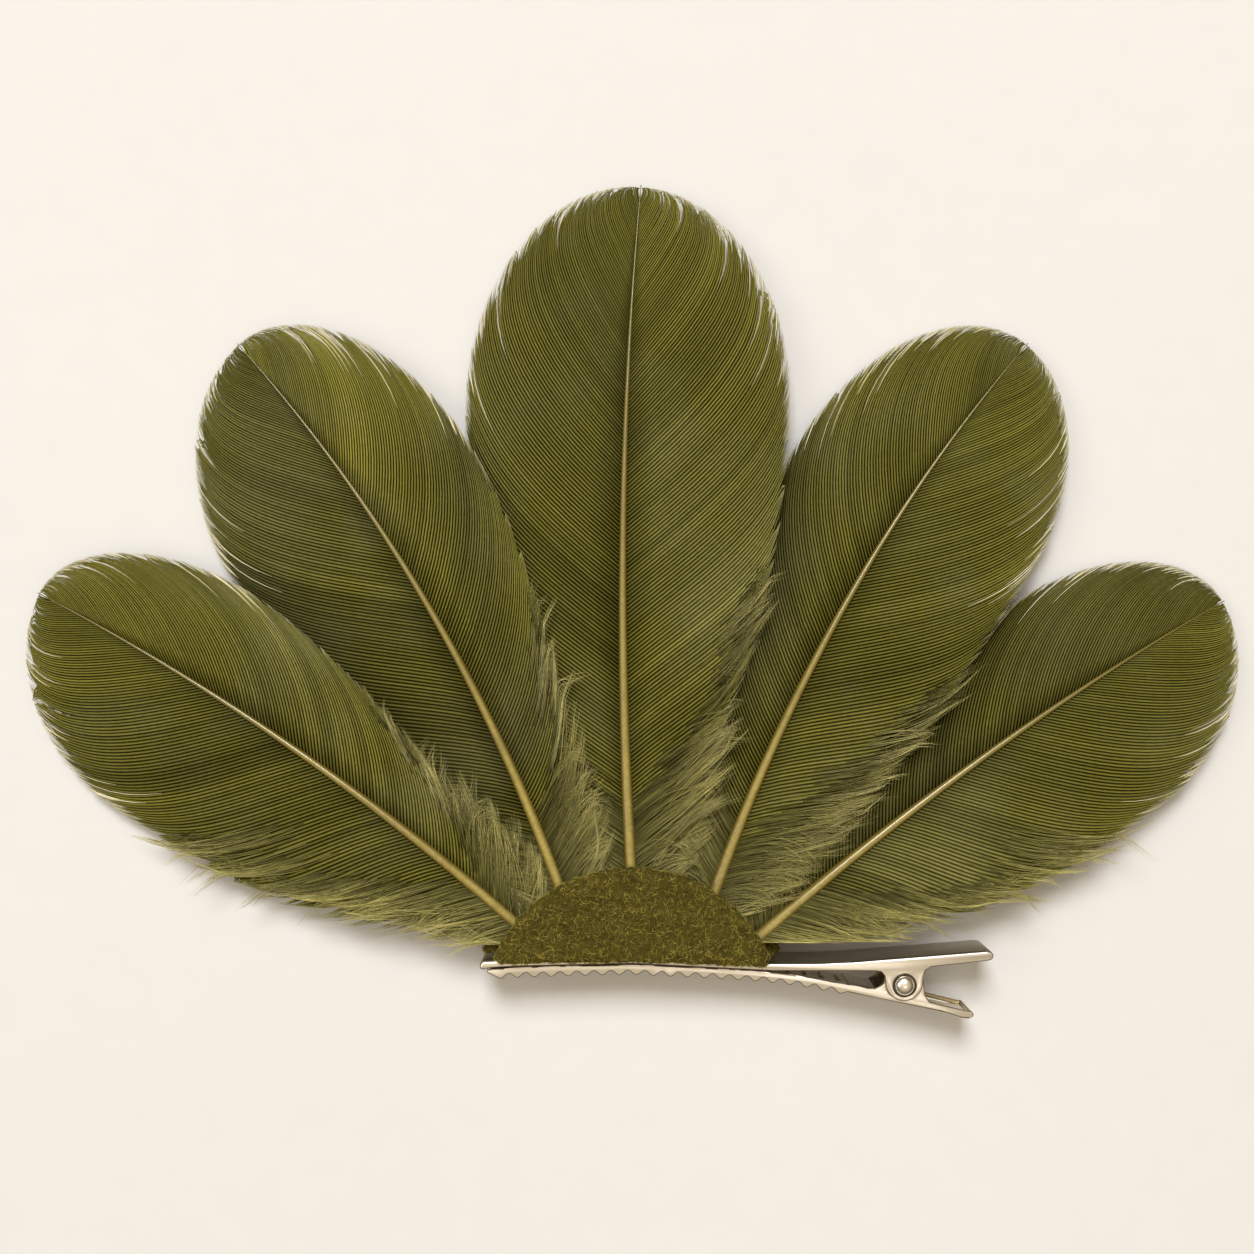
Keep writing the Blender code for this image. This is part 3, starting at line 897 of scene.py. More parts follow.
def cap_edges(shape, wanted):
    """Edges round the two caps whose middle passes a test on x and y in millimetres."""
    found = []
    for edge in shape.edges:
        first, second = edge.verts
        middle = (first.co + second.co) / 2 / MM
        if abs(first.co.z - second.co.z) < 0.01 * MM and wanted(middle.x, middle.y):
            found.append(edge)
    return found


def pressed(outline, back, front, bend, folded):
    """A solid with its folded edges rounded wide."""
    shape = prism(outline, back, front)
    bevel(shape, cap_edges(shape, folded), bend, BEND_STEPS, clamp=True)
    return shape


# Levers, rivet and spring


def upper_outline():
    """Side outline of the upper lever."""
    ear_x, ear_y, ear_radius = UPPER_EAR
    ear = arc(ear_x, ear_y, ear_radius, 0, -180, UPPER_EAR_STEPS)
    top = UPPER_TOP[:1] + smooth_line(UPPER_TOP[1:])
    return top + UPPER_HANDLE_END + UPPER_HANDLE_EDGE + ear + UPPER_JAW_EDGE


def toothed_edge():
    """The scalloped lower edge of the lower jaw, from the pivot towards the tip."""
    pitch = (TOOTH_LAST - TOOTH_FIRST) / (TOOTH_COUNT - 1)
    made = []
    for step in range((TOOTH_COUNT - 1) * TOOTH_STEPS, -1, -1):
        x = TOOTH_FIRST + pitch * step / TOOTH_STEPS
        wave = math.cos(2 * math.pi * step / TOOTH_STEPS)
        made.append((x, along(LOWER_TOP, x) - TOOTH_MEAN_DEPTH - TOOTH_SWING * wave))
    return made


def lower_outline():
    """Side outline of the lower lever."""
    ear = arc(0, 0, LOWER_EAR_RADIUS, LOWER_EAR_START, 0, LOWER_EAR_STEPS)
    tip_x, tip_y = LOWER_TOP[0]
    jaw_end = [(TOOTH_FIRST - JAW_END_REACH, tip_y - JAW_END_DEPTH), (tip_x, tip_y - JAW_END_DEPTH / 2)]
    outline = smooth_line(LOWER_TOP) + LOWER_EAR_FILLET + ear + LOWER_HANDLE_EDGE + LOWER_HANDLE_END
    return outline + LOWER_UNDERSIDE + toothed_edge() + jaw_end


def grip_ridges():
    """Outline of the row of small ridges that stands on the lower jaw's web."""
    pitch = (TOOTH_LAST - TOOTH_FIRST) / (TOOTH_COUNT - 1)
    top = []
    for tooth in range(TOOTH_COUNT):
        x = TOOTH_FIRST + pitch * tooth
        web = along(LOWER_TOP, x)
        foot = web - RIDGE_FOOT / 2
        top += [(x - RIDGE_HALF, foot), (x, web + RIDGE_HEIGHT), (x + RIDGE_HALF, foot)]
    bottom = [(x, y - RIDGE_FOOT) for x, y in top if y < along(LOWER_TOP, x)]
    return top + bottom[::-1]


class HAIRCLIP_OT_upper_lever(bpy.types.Operator):
    """Add the upper lever, a channel open downwards with two ears and a handle"""

    bl_idname = "hairclip.upper_lever"
    bl_label = "Upper lever"

    def execute(self, context):
        size = sizes(context)
        shape = pressed(
            upper_outline(),
            UPPER_BACK,
            UPPER_FRONT,
            size.bend,
            lambda x, y: y > along(UPPER_TOP, x) - FOLD_REACH and UPPER_FOLD[0] < x < UPPER_FOLD[1],
        )
        body = mesh_of(shape, "upper_lever_body", smooth=False)
        roof = [(x, y - SHEET) for x, y in smooth_line(UPPER_TOP[1:])]
        roof = [(x, y) for x, y in roof if x > UPPER_HOLLOW_START]
        roof.append((UPPER_HOLLOW_END, along(UPPER_TOP, UPPER_HOLLOW_END) - SHEET))
        hollow = roof + [(UPPER_HOLLOW_END, UPPER_HOLLOW_BOTTOM), (roof[0][0], UPPER_HOLLOW_BOTTOM)]
        inside = mesh_of(prism(hollow, UPPER_BACK + SHEET, UPPER_FRONT - SHEET), "hollow", smooth=False)
        bore = cylinder(HOLE_RADIUS, -CUTTER_REACH, UPPER_FRONT + CUTTER_REACH)
        sink = cylinder(SINK_RADIUS, UPPER_FRONT - SINK_DEPTH, UPPER_FRONT + CUTTER_REACH)
        cutters = [(inside, "DIFFERENCE"), (bore, "DIFFERENCE"), (sink, "DIFFERENCE")]
        mesh = ease_edges(boolean(body, cutters, "upper_lever_pressed"), size.edge, WEB_SHADE)
        finish = bpy.data.materials["satin_nickel"]
        put("upper_lever_pressed", mesh, finish, CLIP_BODY, "nickel_plated_steel", "upper_lever")
        return {"FINISHED"}


class HAIRCLIP_OT_lower_lever(bpy.types.Operator):
    """Add the lower lever, a toothed jaw with two ears and a handle open upwards"""

    bl_idname = "hairclip.lower_lever"
    bl_label = "Lower lever"

    def execute(self, context):
        size = sizes(context)
        shape = pressed(
            lower_outline(),
            LOWER_BACK,
            LOWER_FRONT,
            size.bend * LOWER_BEND_SHARE,
            lambda x, y: (x < LOWER_FOLD_CHANGES and y > along(LOWER_TOP, x) - FOLD_REACH)
            or (x > LOWER_FOLD_CHANGES and y < along(LOWER_UNDERSIDE, x) + FOLD_REACH),
        )
        body = mesh_of(shape, "lower_lever_body", smooth=False)
        line = smooth_line(LOWER_TOP)
        roof = [(x, y - SHEET) for x, y in line if JAW_HOLLOW_START < x < JAW_HOLLOW_END]
        roof.append((JAW_HOLLOW_END, along(LOWER_TOP, JAW_HOLLOW_END) - SHEET))
        jaw = roof + [(roof[-1][0], JAW_HOLLOW_BOTTOM), (roof[0][0], JAW_HOLLOW_BOTTOM)]
        middle = [(x, along(LOWER_UNDERSIDE, x) + SHEET) for x in HANDLE_FLOOR_AT]
        floor = HANDLE_HOLLOW_START + middle + HANDLE_HOLLOW_END
        handle = floor + [(floor[-1][0], HANDLE_HOLLOW_TOP), (floor[0][0], HANDLE_HOLLOW_TOP)]
        inside = (LOWER_BACK + SHEET, LOWER_FRONT - SHEET)
        cutters = [
            (mesh_of(prism(jaw, *inside), "jaw_hollow", smooth=False), "DIFFERENCE"),
            (mesh_of(prism(handle, *inside), "handle_hollow", smooth=False), "DIFFERENCE"),
            (cylinder(HOLE_RADIUS, -CUTTER_REACH, UPPER_FRONT + CUTTER_REACH), "DIFFERENCE"),
            (mesh_of(prism(grip_ridges(), RIDGE_BACK, RIDGE_FRONT), "ridges", smooth=False), "UNION"),
        ]
        mesh = ease_edges(boolean(body, cutters, "lower_lever_pressed"), size.edge)
        finish = bpy.data.materials["satin_nickel"]
        put("lower_lever_pressed", mesh, finish, JAW_BODY, "nickel_plated_steel", "lower_lever")
        return {"FINISHED"}


class HAIRCLIP_OT_rivet(bpy.types.Operator):
    """Add the domed rivet that the levers turn on"""

    bl_idname = "hairclip.rivet"
    bl_label = "Pivot rivet"

    def execute(self, context):
        profile = [(0.0, 0.0), (TAIL_RADIUS - TAIL_CHAMFER, 0.0), (TAIL_RADIUS, TAIL_CHAMFER)]
        profile += [(TAIL_RADIUS, TAIL_THICKNESS), (SHAFT_RADIUS, TAIL_THICKNESS)]
        profile += [(SHAFT_RADIUS, HEAD_BASE), (HEAD_RADIUS, HEAD_BASE)]
        dome = HEAD_BASE + HEAD_EDGE
        for angle in np.radians(np.linspace(0, 90, HEAD_STEPS)):
            height = dome + (HEAD_HEIGHT - HEAD_EDGE) * math.sin(angle)
            profile.append((HEAD_RADIUS * math.cos(angle), height))
        shape = bmesh.new()
        rim = [shape.verts.new((x * MM, 0, z * MM)) for x, z in profile]
        edges = [shape.edges.new(pair) for pair in zip(rim, rim[1:])]
        bmesh.ops.spin(
            shape,
            geom=rim + edges,
            cent=(0, 0, 0),
            axis=(0, 0, 1),
            angle=2 * math.pi,
            steps=ROUND_SIDES,
            use_merge=True,
        )
        bmesh.ops.remove_doubles(shape, verts=shape.verts, dist=0.001 * MM)
        bmesh.ops.recalc_face_normals(shape, faces=shape.faces)
        mesh = mesh_of(shape, "rivet_turned", sharp=40)
        put("rivet_turned", mesh, bpy.data.materials["rivet_nickel"], CLIP_BODY, "rivet_steel", "pivot_rivet")
        return {"FINISHED"}


class HAIRCLIP_OT_spring(bpy.types.Operator):
    """Add the torsion spring between the two levers"""

    bl_idname = "hairclip.spring"
    bl_label = "Torsion spring"

    def execute(self, context):
        start = UPPER_LEG_ANGLE + 90
        sweep = (LOWER_LEG_ANGLE - 90 + 360) - start + 360 * WHOLE_TURNS
        turn = np.linspace(0, 1, int(sweep / 360 * COIL_STEPS_PER_TURN))
        angle = np.radians(start + sweep * turn)
        depth = COIL_BACK + COIL_PITCH * sweep / 360 * turn
        coil = np.stack([COIL_RADIUS * np.cos(angle), COIL_RADIUS * np.sin(angle), depth], axis=1)
        legs = []
        for end, slope in ((coil[0], UPPER_LEG_ANGLE), (coil[-1], LOWER_LEG_ANGLE)):
            way = np.array([math.cos(math.radians(slope)), math.sin(math.radians(slope)), 0.0])
            legs.append(end + np.outer(np.linspace(LEG_LENGTH, LEG_START, LEG_STEPS), way))
        route = np.concatenate([legs[0], coil, legs[1][::-1]])
        mesh = swept("spring_wire", route.tolist(), np.full(len(route), WIRE_RADIUS), 3, "MINIMUM")
        finish = bpy.data.materials["spring_wire"]
        piece = put("spring_wire", mesh, finish, None, "spring_steel", "torsion_spring")
        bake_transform(piece)
        return {"FINISHED"}


# Strands and tubes from arrays


def paint(mesh, shade):
    """Give a mesh's vertices their painted shades."""
    layer = mesh.color_attributes.new("shade", "FLOAT_COLOR", "POINT")
    layer.data.foreach_set("color", shade.ravel().astype(np.float32))


def mesh_from_arrays(name, verts, faces, shade):
    """A smooth, painted mesh from vertices in millimetres and faces."""
    mesh = bpy.data.meshes.new(name)
    mesh.from_pydata((verts * MM).tolist(), [], [[i for i in face if i >= 0] for face in faces.tolist()])
    mesh.shade_smooth()
    paint(mesh, shade)
    mesh.validate()
    return mesh


def ring_faces(count, rings, sides):
    """Faces of closed tubes: quads between rings and one face at each end."""
    ring = np.arange(sides)
    step = np.arange(rings - 1)[:, None] * sides
    near = step + ring
    turned = step + (ring + 1) % sides
    side = np.stack([near, near + sides, turned + sides, turned], axis=-1)
    quads = side.reshape(-1, 4)
    width = max(4, sides)
    padded = np.full((len(quads), width), -1)
    padded[:, :4] = quads
    caps = np.full((2, width), -1)
    caps[0, :sides] = ring
    caps[1, :sides] = (rings - 1) * sides + ring[::-1]
    one = np.concatenate([padded, caps])
    shift = (np.arange(count) * rings * sides)[:, None, None]
    every = np.where(one >= 0, one + shift, -1)
    return every.reshape(-1, width)


def tubes(paths, radii, sides, flat=True):
    """Vertices and faces of tubes along paths, which are arrays of tubes, points and places."""
    way = np.gradient(paths, axis=1)
    way /= np.linalg.norm(way, axis=2, keepdims=True) + 1e-12
    up = np.zeros_like(way)
    up[..., 2] = 1.0
    if not flat:
        up = np.where(np.abs(way[..., 2:]) > 0.9, np.array([1.0, 0.0, 0.0]), up)
    across = np.cross(way, up)
    across /= np.linalg.norm(across, axis=2, keepdims=True) + 1e-12
    up = np.cross(across, way)
    angle = 2 * np.pi * np.arange(sides) / sides + np.pi / 2
    ring = across[:, :, None] * np.cos(angle)[:, None] + up[:, :, None] * np.sin(angle)[:, None]
    verts = paths[:, :, None] + ring * radii[:, :, None, None]
    return verts.reshape(-1, 3), ring_faces(len(paths), paths.shape[1], sides)


# The feathers' form, as in the solids


def quill_line(spec, share):
    """Points on a quill's line, seen from the front."""
    foot = np.array(spec["foot"])
    way = np.array(spec["tip"]) - foot
    length = np.hypot(*way)
    right = np.array([way[1], -way[0]]) / length
    share = np.asarray(share, float)[..., None]
    return foot + way * share + right * (4 * spec["bow"] * share * (1 - share))


def quill_way(spec, share):
    """Unit vectors along the quill."""
    step = 0.001
    way = quill_line(spec, np.asarray(share) + step) - quill_line(spec, np.asarray(share) - step)
    return way / np.linalg.norm(way, axis=-1, keepdims=True)


def rim_points(spec, side, share, width=None, fullness=None):
    """Points of a vane's outline: share runs from the foot to the tip."""
    width = spec["width"][side > 0] if width is None else width
    fullness = spec["fullness"][side > 0] if fullness is None else fullness
    share = np.asarray(share, float)
    low = OUTLINE_START + (WIDEST - OUTLINE_START) * share / SHARE_AT_WIDEST
    rest = np.clip((WIDEST - low) / (WIDEST - OUTLINE_START), 0, None)
    turn = np.pi / 2 * np.clip((share - SHARE_AT_WIDEST) / (1 - SHARE_AT_WIDEST), 0, 1)
    before = share < SHARE_AT_WIDEST
    reach = np.where(before, low, WIDEST + (1 - WIDEST) * np.sin(turn))
    wide = width * np.where(before, 1 - rest**fullness, np.cos(turn))
    way = quill_way(spec, reach)
    out = np.stack([way[..., 1], -way[..., 0]], axis=-1) * side
    return quill_line(spec, reach) + out * wide[..., None]


def barb_root(share):
    """Where on the quill the barb starts that ends at a share of the outline."""
    further = BARB_ROOT_TIP_SPAN * np.clip(share, 0, 1) ** BARB_TIP_POWER
    return BARB_ROOT_START + share * (BARB_ROOT_SPAN + further)


def barb_points(spec, side, share, reach, sweep=0.7, width=None, fullness=None):
    """Points on barbs: reach runs from the quill to the outline; sweep turns the ends along the rim."""
    share, reach = np.broadcast_arrays(np.asarray(share, float), np.asarray(reach, float))
    root_share = barb_root(share)
    root = quill_line(spec, root_share)
    end = rim_points(spec, side, share, width, fullness)
    rim = end - rim_points(spec, side, share - 0.004, width, fullness)
    rim /= np.linalg.norm(rim, axis=-1, keepdims=True) + 1e-9
    way = quill_way(spec, root_share)
    out = np.stack([way[..., 1], -way[..., 0]], axis=-1) * side
    angle = (np.radians(BARB_ANGLE) * (1 - 0.75 * np.clip(share, 0, 1) ** BARB_TIP_POWER))[..., None]
    far = np.linalg.norm(end - root, axis=-1, keepdims=True)
    straight = (end - root) / (far + 1e-9)
    last = sweep * rim + (1 - sweep) * straight
    last /= np.linalg.norm(last, axis=-1, keepdims=True) + 1e-9
    first_bend = root + (way * np.cos(angle) + out * np.sin(angle)) * far * 0.45
    last_bend = end - last * far * 0.3
    t = reach[..., None]
    inner = root * (1 - t) ** 3 + first_bend * (3 * t * (1 - t) ** 2)
    return inner + last_bend * (3 * t * t * (1 - t)) + end * t**3


def vane_height(spec, at):
    """Height of the vane's middle surface at points seen from the front."""
    foot = np.array(spec["foot"])
    way = np.array(spec["tip"]) - foot
    length = np.hypot(*way)
    way = way / length
    right = np.array([way[1], -way[0]])
    share = (at - foot) @ way / length
    across = (at - foot) @ right - 4 * spec["bow"] * share * (1 - share)
    roll = VANE_ROLL + FOOT_ROLL * (1 - np.clip(share, 0, 1)) ** 2
    width = np.where(across > 0, spec["width"][1], spec["width"][0])
    drop = spec["drop"] * np.clip(share, 0, 1) ** 1.5
    camber = VANE_CAMBER * np.clip(np.abs(across / width), 0, 1.1) ** 2
    lift = QUILL_HEIGHT - drop + roll * across - camber - RESTING
    return RESTING + (lift + np.hypot(lift, RESTING_SOFTNESS)) / 2


def keep_above(spec, at):
    """Bend points softly away from the clip below the fan."""
    soft = CLIP_SOFTNESS
    beyond = smoothstep((CLIP_LEFT - at[..., 0]) / CLIP_FADE)
    beyond = beyond + smoothstep((at[..., 0] - CLIP_RIGHT) / CLIP_FADE)
    low = spec["low"] - LOWER_BEYOND * beyond
    over = at[..., 1] - low
    at[..., 1] = low + (over + np.hypot(over, soft)) / 2
    return at


def smoothstep(x):
    """0 before 0, 1 after 1, smooth between."""
    x = np.clip(x, 0, 1)
    return x * x * (3 - 2 * x)


def is_short(spec, side):
    """Whether the down on a side is the short down of an outer feather's lower rim."""
    return spec["down"][side > 0] < SHORT_DOWN


def split_places(random, count):
    """Places where a vane has come unzipped: share of the outline, gap and where it starts."""
    made = []
    for centre in random.uniform(0.62, 0.955, count):
        start = random.uniform(0.8, 0.95) if random.random() > 0.25 else random.uniform(0.55, 0.8)
        made.append((centre, random.uniform(0.0012, 0.0042), start))
    return made


def open_splits(share, reach, places):
    """Move barbs apart along the outline at the splits."""
    moved = share + 0 * reach
    for centre, gap, start in places:
        away = np.sign(share - centre) * np.exp(-np.abs(share - centre) / 0.010)
        moved = moved + away * gap * smoothstep((reach - start) / (1 - start) * 1.6)
    return moved


def lock_middles(random, share, count):
    """For each barb, the middle of the lock that it belongs to."""
    edges = np.sort(np.concatenate([[0, 1.001], random.uniform(0, 1, count)]))
    index = np.clip(np.searchsorted(edges, share, side="right") - 1, 0, len(edges) - 2)
    return (edges[index] + edges[index + 1]) / 2


def closed_part(spec, side, share):
    """How far out from the quill the barbs are zipped together, 0 to 1."""
    loose = spec["loose"][side > 0]
    return 0.12 + 0.84 * smoothstep(share / loose) ** 0.9


def rim_shadow(node, at):
    """Tone of points near the rim of a feather that lies over them: a painted shadow of that rim."""
    tone = np.ones(at.shape[:-1])
    for cover, side in COVERED_BY.get(node, []):
        rim = rim_points(FEATHERS[cover], side, np.linspace(0.1, 0.95, 90))
        far = np.min(np.linalg.norm(at[..., None, :] - rim, axis=-1), axis=-1)
        tone *= 1 - RIM_SHADOW * np.exp(-((far / RIM_SHADOW_REACH) ** 2))
    return tone


def barb_shares(spec, side, size):
    """Evenly spaced barbs: the share of the outline where each one ends, and the cuts beside it."""
    step = size.spacing / MM / math.dist(spec["foot"], spec["tip"])
    start = VANE_START_SHORT if is_short(spec, side) else VANE_START
    roots = np.append(np.arange(barb_root(start), barb_root(VANE_END), step), barb_root(LAST_BARB))
    share = np.interp(roots, barb_root(SHARE_TABLE), SHARE_TABLE)
    cuts = (share[1:] + share[:-1]) / 2
    before = np.concatenate([[share[0] - (cuts[0] - share[0])], cuts])
    after = np.concatenate([cuts, [share[-1] + (share[-1] - cuts[-1])]])
    return share[:, None], before[:, None], after[:, None]


def vane(node, side, size, random, places):
    """Vertices, faces and shade of one side's barbs.

    Each barb is a closed ridge of four-cornered rings from the quill to the rim. Past a point it leaves
    its neighbours, thins and gathers with its lock.
    """
    spec = FEATHERS[node]
    share, cut_before, cut_after = barb_shares(spec, side, size)
    count = len(share)

    # How far out each barb is zipped to its neighbours, how long it is and how it thins
    free = closed_part(spec, side, share) - 0.04 - 0.08 * random.random((count, 1)) ** 2
    free = np.clip(free, 0.1, 0.98)
    loose = smoothstep((0.9 - free) / 0.5)
    longest = 1.004 + random.normal(0, 0.006, (count, 1)) - 0.05 * loose * random.random((count, 1))
    reach = np.linspace(0, 1, BARB_RINGS)[None, :] ** 0.8 * longest
    past = np.clip((reach - free) / (longest - free), 0, 1)
    taper = (1 - smoothstep(past * 1.3) * (0.45 + 0.2 * loose)) * (1 - 0.92 * past**3)

    # Where it leans: apart at the splits, together in its lock, and a little at random
    locks = LOCKS_SHORT if is_short(spec, side) else LOCKS
    middle = lock_middles(random, share[:, 0], locks)[:, None]
    pull = LOCK_PULL * smoothstep(past)
    wander = random.normal(0, 0.0005, (count, 1)) * (1 + 5 * loose) * reach**2
    shift = open_splits(share, reach, places) + (middle - share) * pull + wander - share
    to_before = (cut_before - share) * taper * BARB_OVERLAP
    to_after = (cut_after - share) * taper * BARB_OVERLAP
    crest_at = keep_above(spec, barb_points(spec, side, share + shift, reach))
    before = keep_above(spec, barb_points(spec, side, share + shift + to_before, reach))
    after = keep_above(spec, barb_points(spec, side, share + shift + to_after, reach))

    # Its height: crest, two edges and underside
    ridge = size.ridge / MM
    waves = np.interp(share[:, 0], np.linspace(0, 1, 40), random.normal(0, 0.09, 40))[:, None]
    ruffle = (waves + random.normal(0, 0.03, (count, 1)) * (1 + 3 * loose)) * reach
    base = RESTING_LIFT + ruffle + loose * past * 0.3
    level = vane_height(spec, crest_at) + base
    crest = np.concatenate([crest_at, (level + ridge * (0.35 + 0.65 * taper))[..., None]], axis=-1)
    left = np.concatenate([before, (vane_height(spec, before) + base)[..., None]], axis=-1)
    right = np.concatenate([after, (vane_height(spec, after) + base)[..., None]], axis=-1)
    under = np.concatenate([crest_at, (level - BARB_UNDER)[..., None]], axis=-1)
    order = [left, crest, right, under] if side > 0 else [right, crest, left, under]
    verts = np.stack(order, axis=2)
    shade = barb_shade(node, side, random, crest_at, share, reach, past, loose)
    return verts.reshape(-1, 3), ring_faces(count, BARB_RINGS, 4), shade.reshape(-1, 4)


def barb_shade(node, side, random, at, share, reach, past, loose):
    """Colours painted on barbs: crest or valley in painted shade, tone with painted sheen and shade, pale end
    and downiness.
    """
    spec = FEATHERS[node]
    count = len(share)
    downy = 0.6 * (1 - smoothstep((share - 0.05) / (0.5 * spec["loose"][side > 0]))) * np.ones_like(reach)
    downy = np.maximum(downy, 0.5 * loose * smoothstep(past))
    plain = np.interp(share[:, 0], np.linspace(0, 1, 26), random.uniform(0.0, 0.5, 26))[:, None]
    plain = np.clip(plain + 0.35 * smoothstep((reach - 0.55) / 0.45), 0, 0.8)
    # Painted shade: crests take the barb's colour, and edges lean to the valley's painted shade
    crested = np.zeros((count, BARB_RINGS, 4))
    crested += (plain * 0.3)[:, :, None]
    crested[:, :, 1] = 1.0 - plain * 0.35
    tone = spec["sheen"][side > 0] * (1 + random.normal(0, 0.09, (count, 1)))
    patches = np.interp(share[:, 0], np.linspace(0, 1, 30), 1 + random.normal(0, 0.10, 30))[:, None]
    tone = tone * patches * (0.92 + 0.16 * smoothstep(reach)) * (1 + 0.35 * loose * past)
    # Painted shade: barbs darken next to the quill
    tone = tone * (0.6 + 0.4 * smoothstep(reach * 24)) * (1 - 0.45 * downy * (1 - loose * smoothstep(past)))
    # Painted shadow under the rim of a feather that lies over these barbs
    tone = tone * rim_shadow(node, at)
    pale = (0.42 * smoothstep((past - 0.35) / 0.65) * (1 - 0.55 * loose)) + 0 * reach
    rest = [np.repeat(value[:, :, None], 4, 2) for value in (tone, pale, downy)]
    return np.stack([crested, *rest], axis=-1)


def strands_along(paths, radius, tone, pale):
    """Fine three-sided hairs along paths, with their shade."""
    verts, faces = tubes(paths, radius, 3)
    full = np.broadcast_to(tone, radius.shape), np.broadcast_to(pale, radius.shape)
    tone, pale = (np.repeat(value[:, :, None], 3, 2) for value in full)
    shade = np.stack([np.ones_like(tone), tone, pale, np.zeros_like(tone)], axis=-1)
    return verts, faces, shade.reshape(-1, 4)


def fringe(spec, side, size, random, places):
    """Fine pale hairs that end just past the rim, and loose barbs in the splits; their paleness is partly the
    thin ends' own colour, partly painted light for the bright floor past the rim.
    """
    count = size.fringe
    roots = random.uniform(0.35, 1.0, count)
    share = np.interp(roots * barb_root(VANE_END), barb_root(SHARE_TABLE), SHARE_TABLE)[:, None]
    begin = random.uniform(0.86, 0.95, (count, 1))
    end = random.uniform(0.985, 1.008, (count, 1))
    radius = np.full((count, 1), FRINGE_RADIUS)
    if places:
        loose = np.array([p[0] for p in places])[:, None]
        share = np.concatenate([share, loose])
        begin = np.concatenate([begin, np.array([p[2] for p in places])[:, None]])
        end = np.concatenate([end, np.full((len(places), 1), 1.0)])
        radius = np.concatenate([radius, random.uniform(0.06, 0.12, (len(places), 1))])
    along_hair = np.linspace(0, 1, FRINGE_RINGS)[None, :]
    reach = begin + (end - begin) * along_hair
    drift = random.normal(0, 0.0015, (len(share), 1)) * along_hair
    at = keep_above(spec, barb_points(spec, side, share + drift, reach))
    height = vane_height(spec, at) + RESTING_LIFT + 0.17 + 0.05 * random.random((len(share), 1))
    paths = np.concatenate([at, height[..., None]], axis=-1)
    thick = radius * (0.35 + 0.65 * smoothstep(along_hair * 2.5)) * (1 - 0.85 * along_hair**3)
    pale = np.clip(0.1 + 1.0 * along_hair, 0, 1) * random.uniform(0.3, 0.9, (len(share), 1))
    # Painted light: the loose barbs in the splits are fully pale, for the bright floor seen through the gap
    pale[count:] = 1.0
    return strands_along(paths, thick, 1.0, pale)


def loose_barbs(spec, side, share, out, fullness):
    """Points on loose barbs: down at the foot that passes into the vane's own barbs."""
    fade = smoothstep(share / spec["loose"][side > 0])
    at_down = barb_points(spec, side, share, out, 0.1, spec["down"][side > 0], fullness)
    at_vane = barb_points(spec, side, share, out, 0.45)
    return at_down + (at_vane - at_down) * fade[..., None]


def each_strand(strands):
    """A function that gives every strand the value of its lock."""
    return lambda values: np.repeat(values, strands)[:, None]


def down(spec, side, size, random):
    """One side's loose down: locks of fine curved strands that end in points."""
    tufts = size.tufts
    strands = size.strands
    count = tufts * strands
    loose = spec["loose"][side > 0]
    each = each_strand(strands)
    middle = np.linspace(0.0, 1.0, tufts) ** 1.15 * (loose + 0.03) + 0.02 + random.normal(0, 0.006, tufts)
    middle = each(middle)
    reach = np.linspace(0, 1, DOWN_RINGS)[None, :]
    foot = 1 - smoothstep((middle - 0.14) / 0.2)
    begin = closed_part(spec, side, middle) * (1 - foot) - random.uniform(0.0, 0.3, (count, 1))
    begin = np.clip(begin, 0.0, 0.8)
    length = each(random.uniform(0.9, 1.2, tufts)) * random.uniform(0.8, 1.0, (count, 1))
    out = begin + (length - begin) * reach
    spread = random.normal(0, 0.013, (count, 1)) * (1 + foot)
    gather = 1 - 0.9 * smoothstep((reach - 0.15) / 0.85)
    hook = each(random.normal(-0.006, 0.016, tufts)) + random.normal(0, 0.005, (count, 1))
    share = middle + spread * gather + hook * reach**2.5
    at = loose_barbs(spec, side, share, out, DOWN_FULLNESS)
    turn = random.uniform(2, 8, (count, 1)) * reach + random.uniform(0, 6, (count, 1))
    wave = np.stack([np.sin(turn), np.cos(turn)], axis=-1) * (0.2 * reach[..., None])
    at = keep_above(spec, at + wave)
    layer = random.uniform(-0.35, 1.1, tufts)
    low = each(random.uniform(0, 1, tufts) < 0.3) * foot * 1.6
    lift = (each(layer) - low) * np.sin(np.pi * 0.8 * reach**0.8) + 0.35 * random.random((count, 1)) * reach
    height = vane_height(spec, at) + RESTING_LIFT + 0.22 + lift
    paths = np.concatenate([at, height[..., None]], axis=-1)
    radius = size.strand / MM * (1 - 0.88 * reach**1.6) * random.uniform(0.6, 1.2, (count, 1))
    # Painted light: the short down on an outer feather's lower rim is brighter
    sunlit = DOWN_BRIGHTER if is_short(spec, side) else 1.0
    # Painted shade: lower tufts are darker
    tone = sunlit * each(random.uniform(0.7, 1.15, tufts) + 0.3 * layer)
    tone = tone * random.uniform(0.55, 1.45, (count, 1))
    tone = tone * (0.3 + 0.85 * reach**1.3) * (1 + 0.5 * foot)
    pale = np.clip(1.0 - 0.5 * middle / loose, 0.25, 1.0) * (0.35 + 0.65 * reach)
    return strands_along(paths, radius, tone, pale)


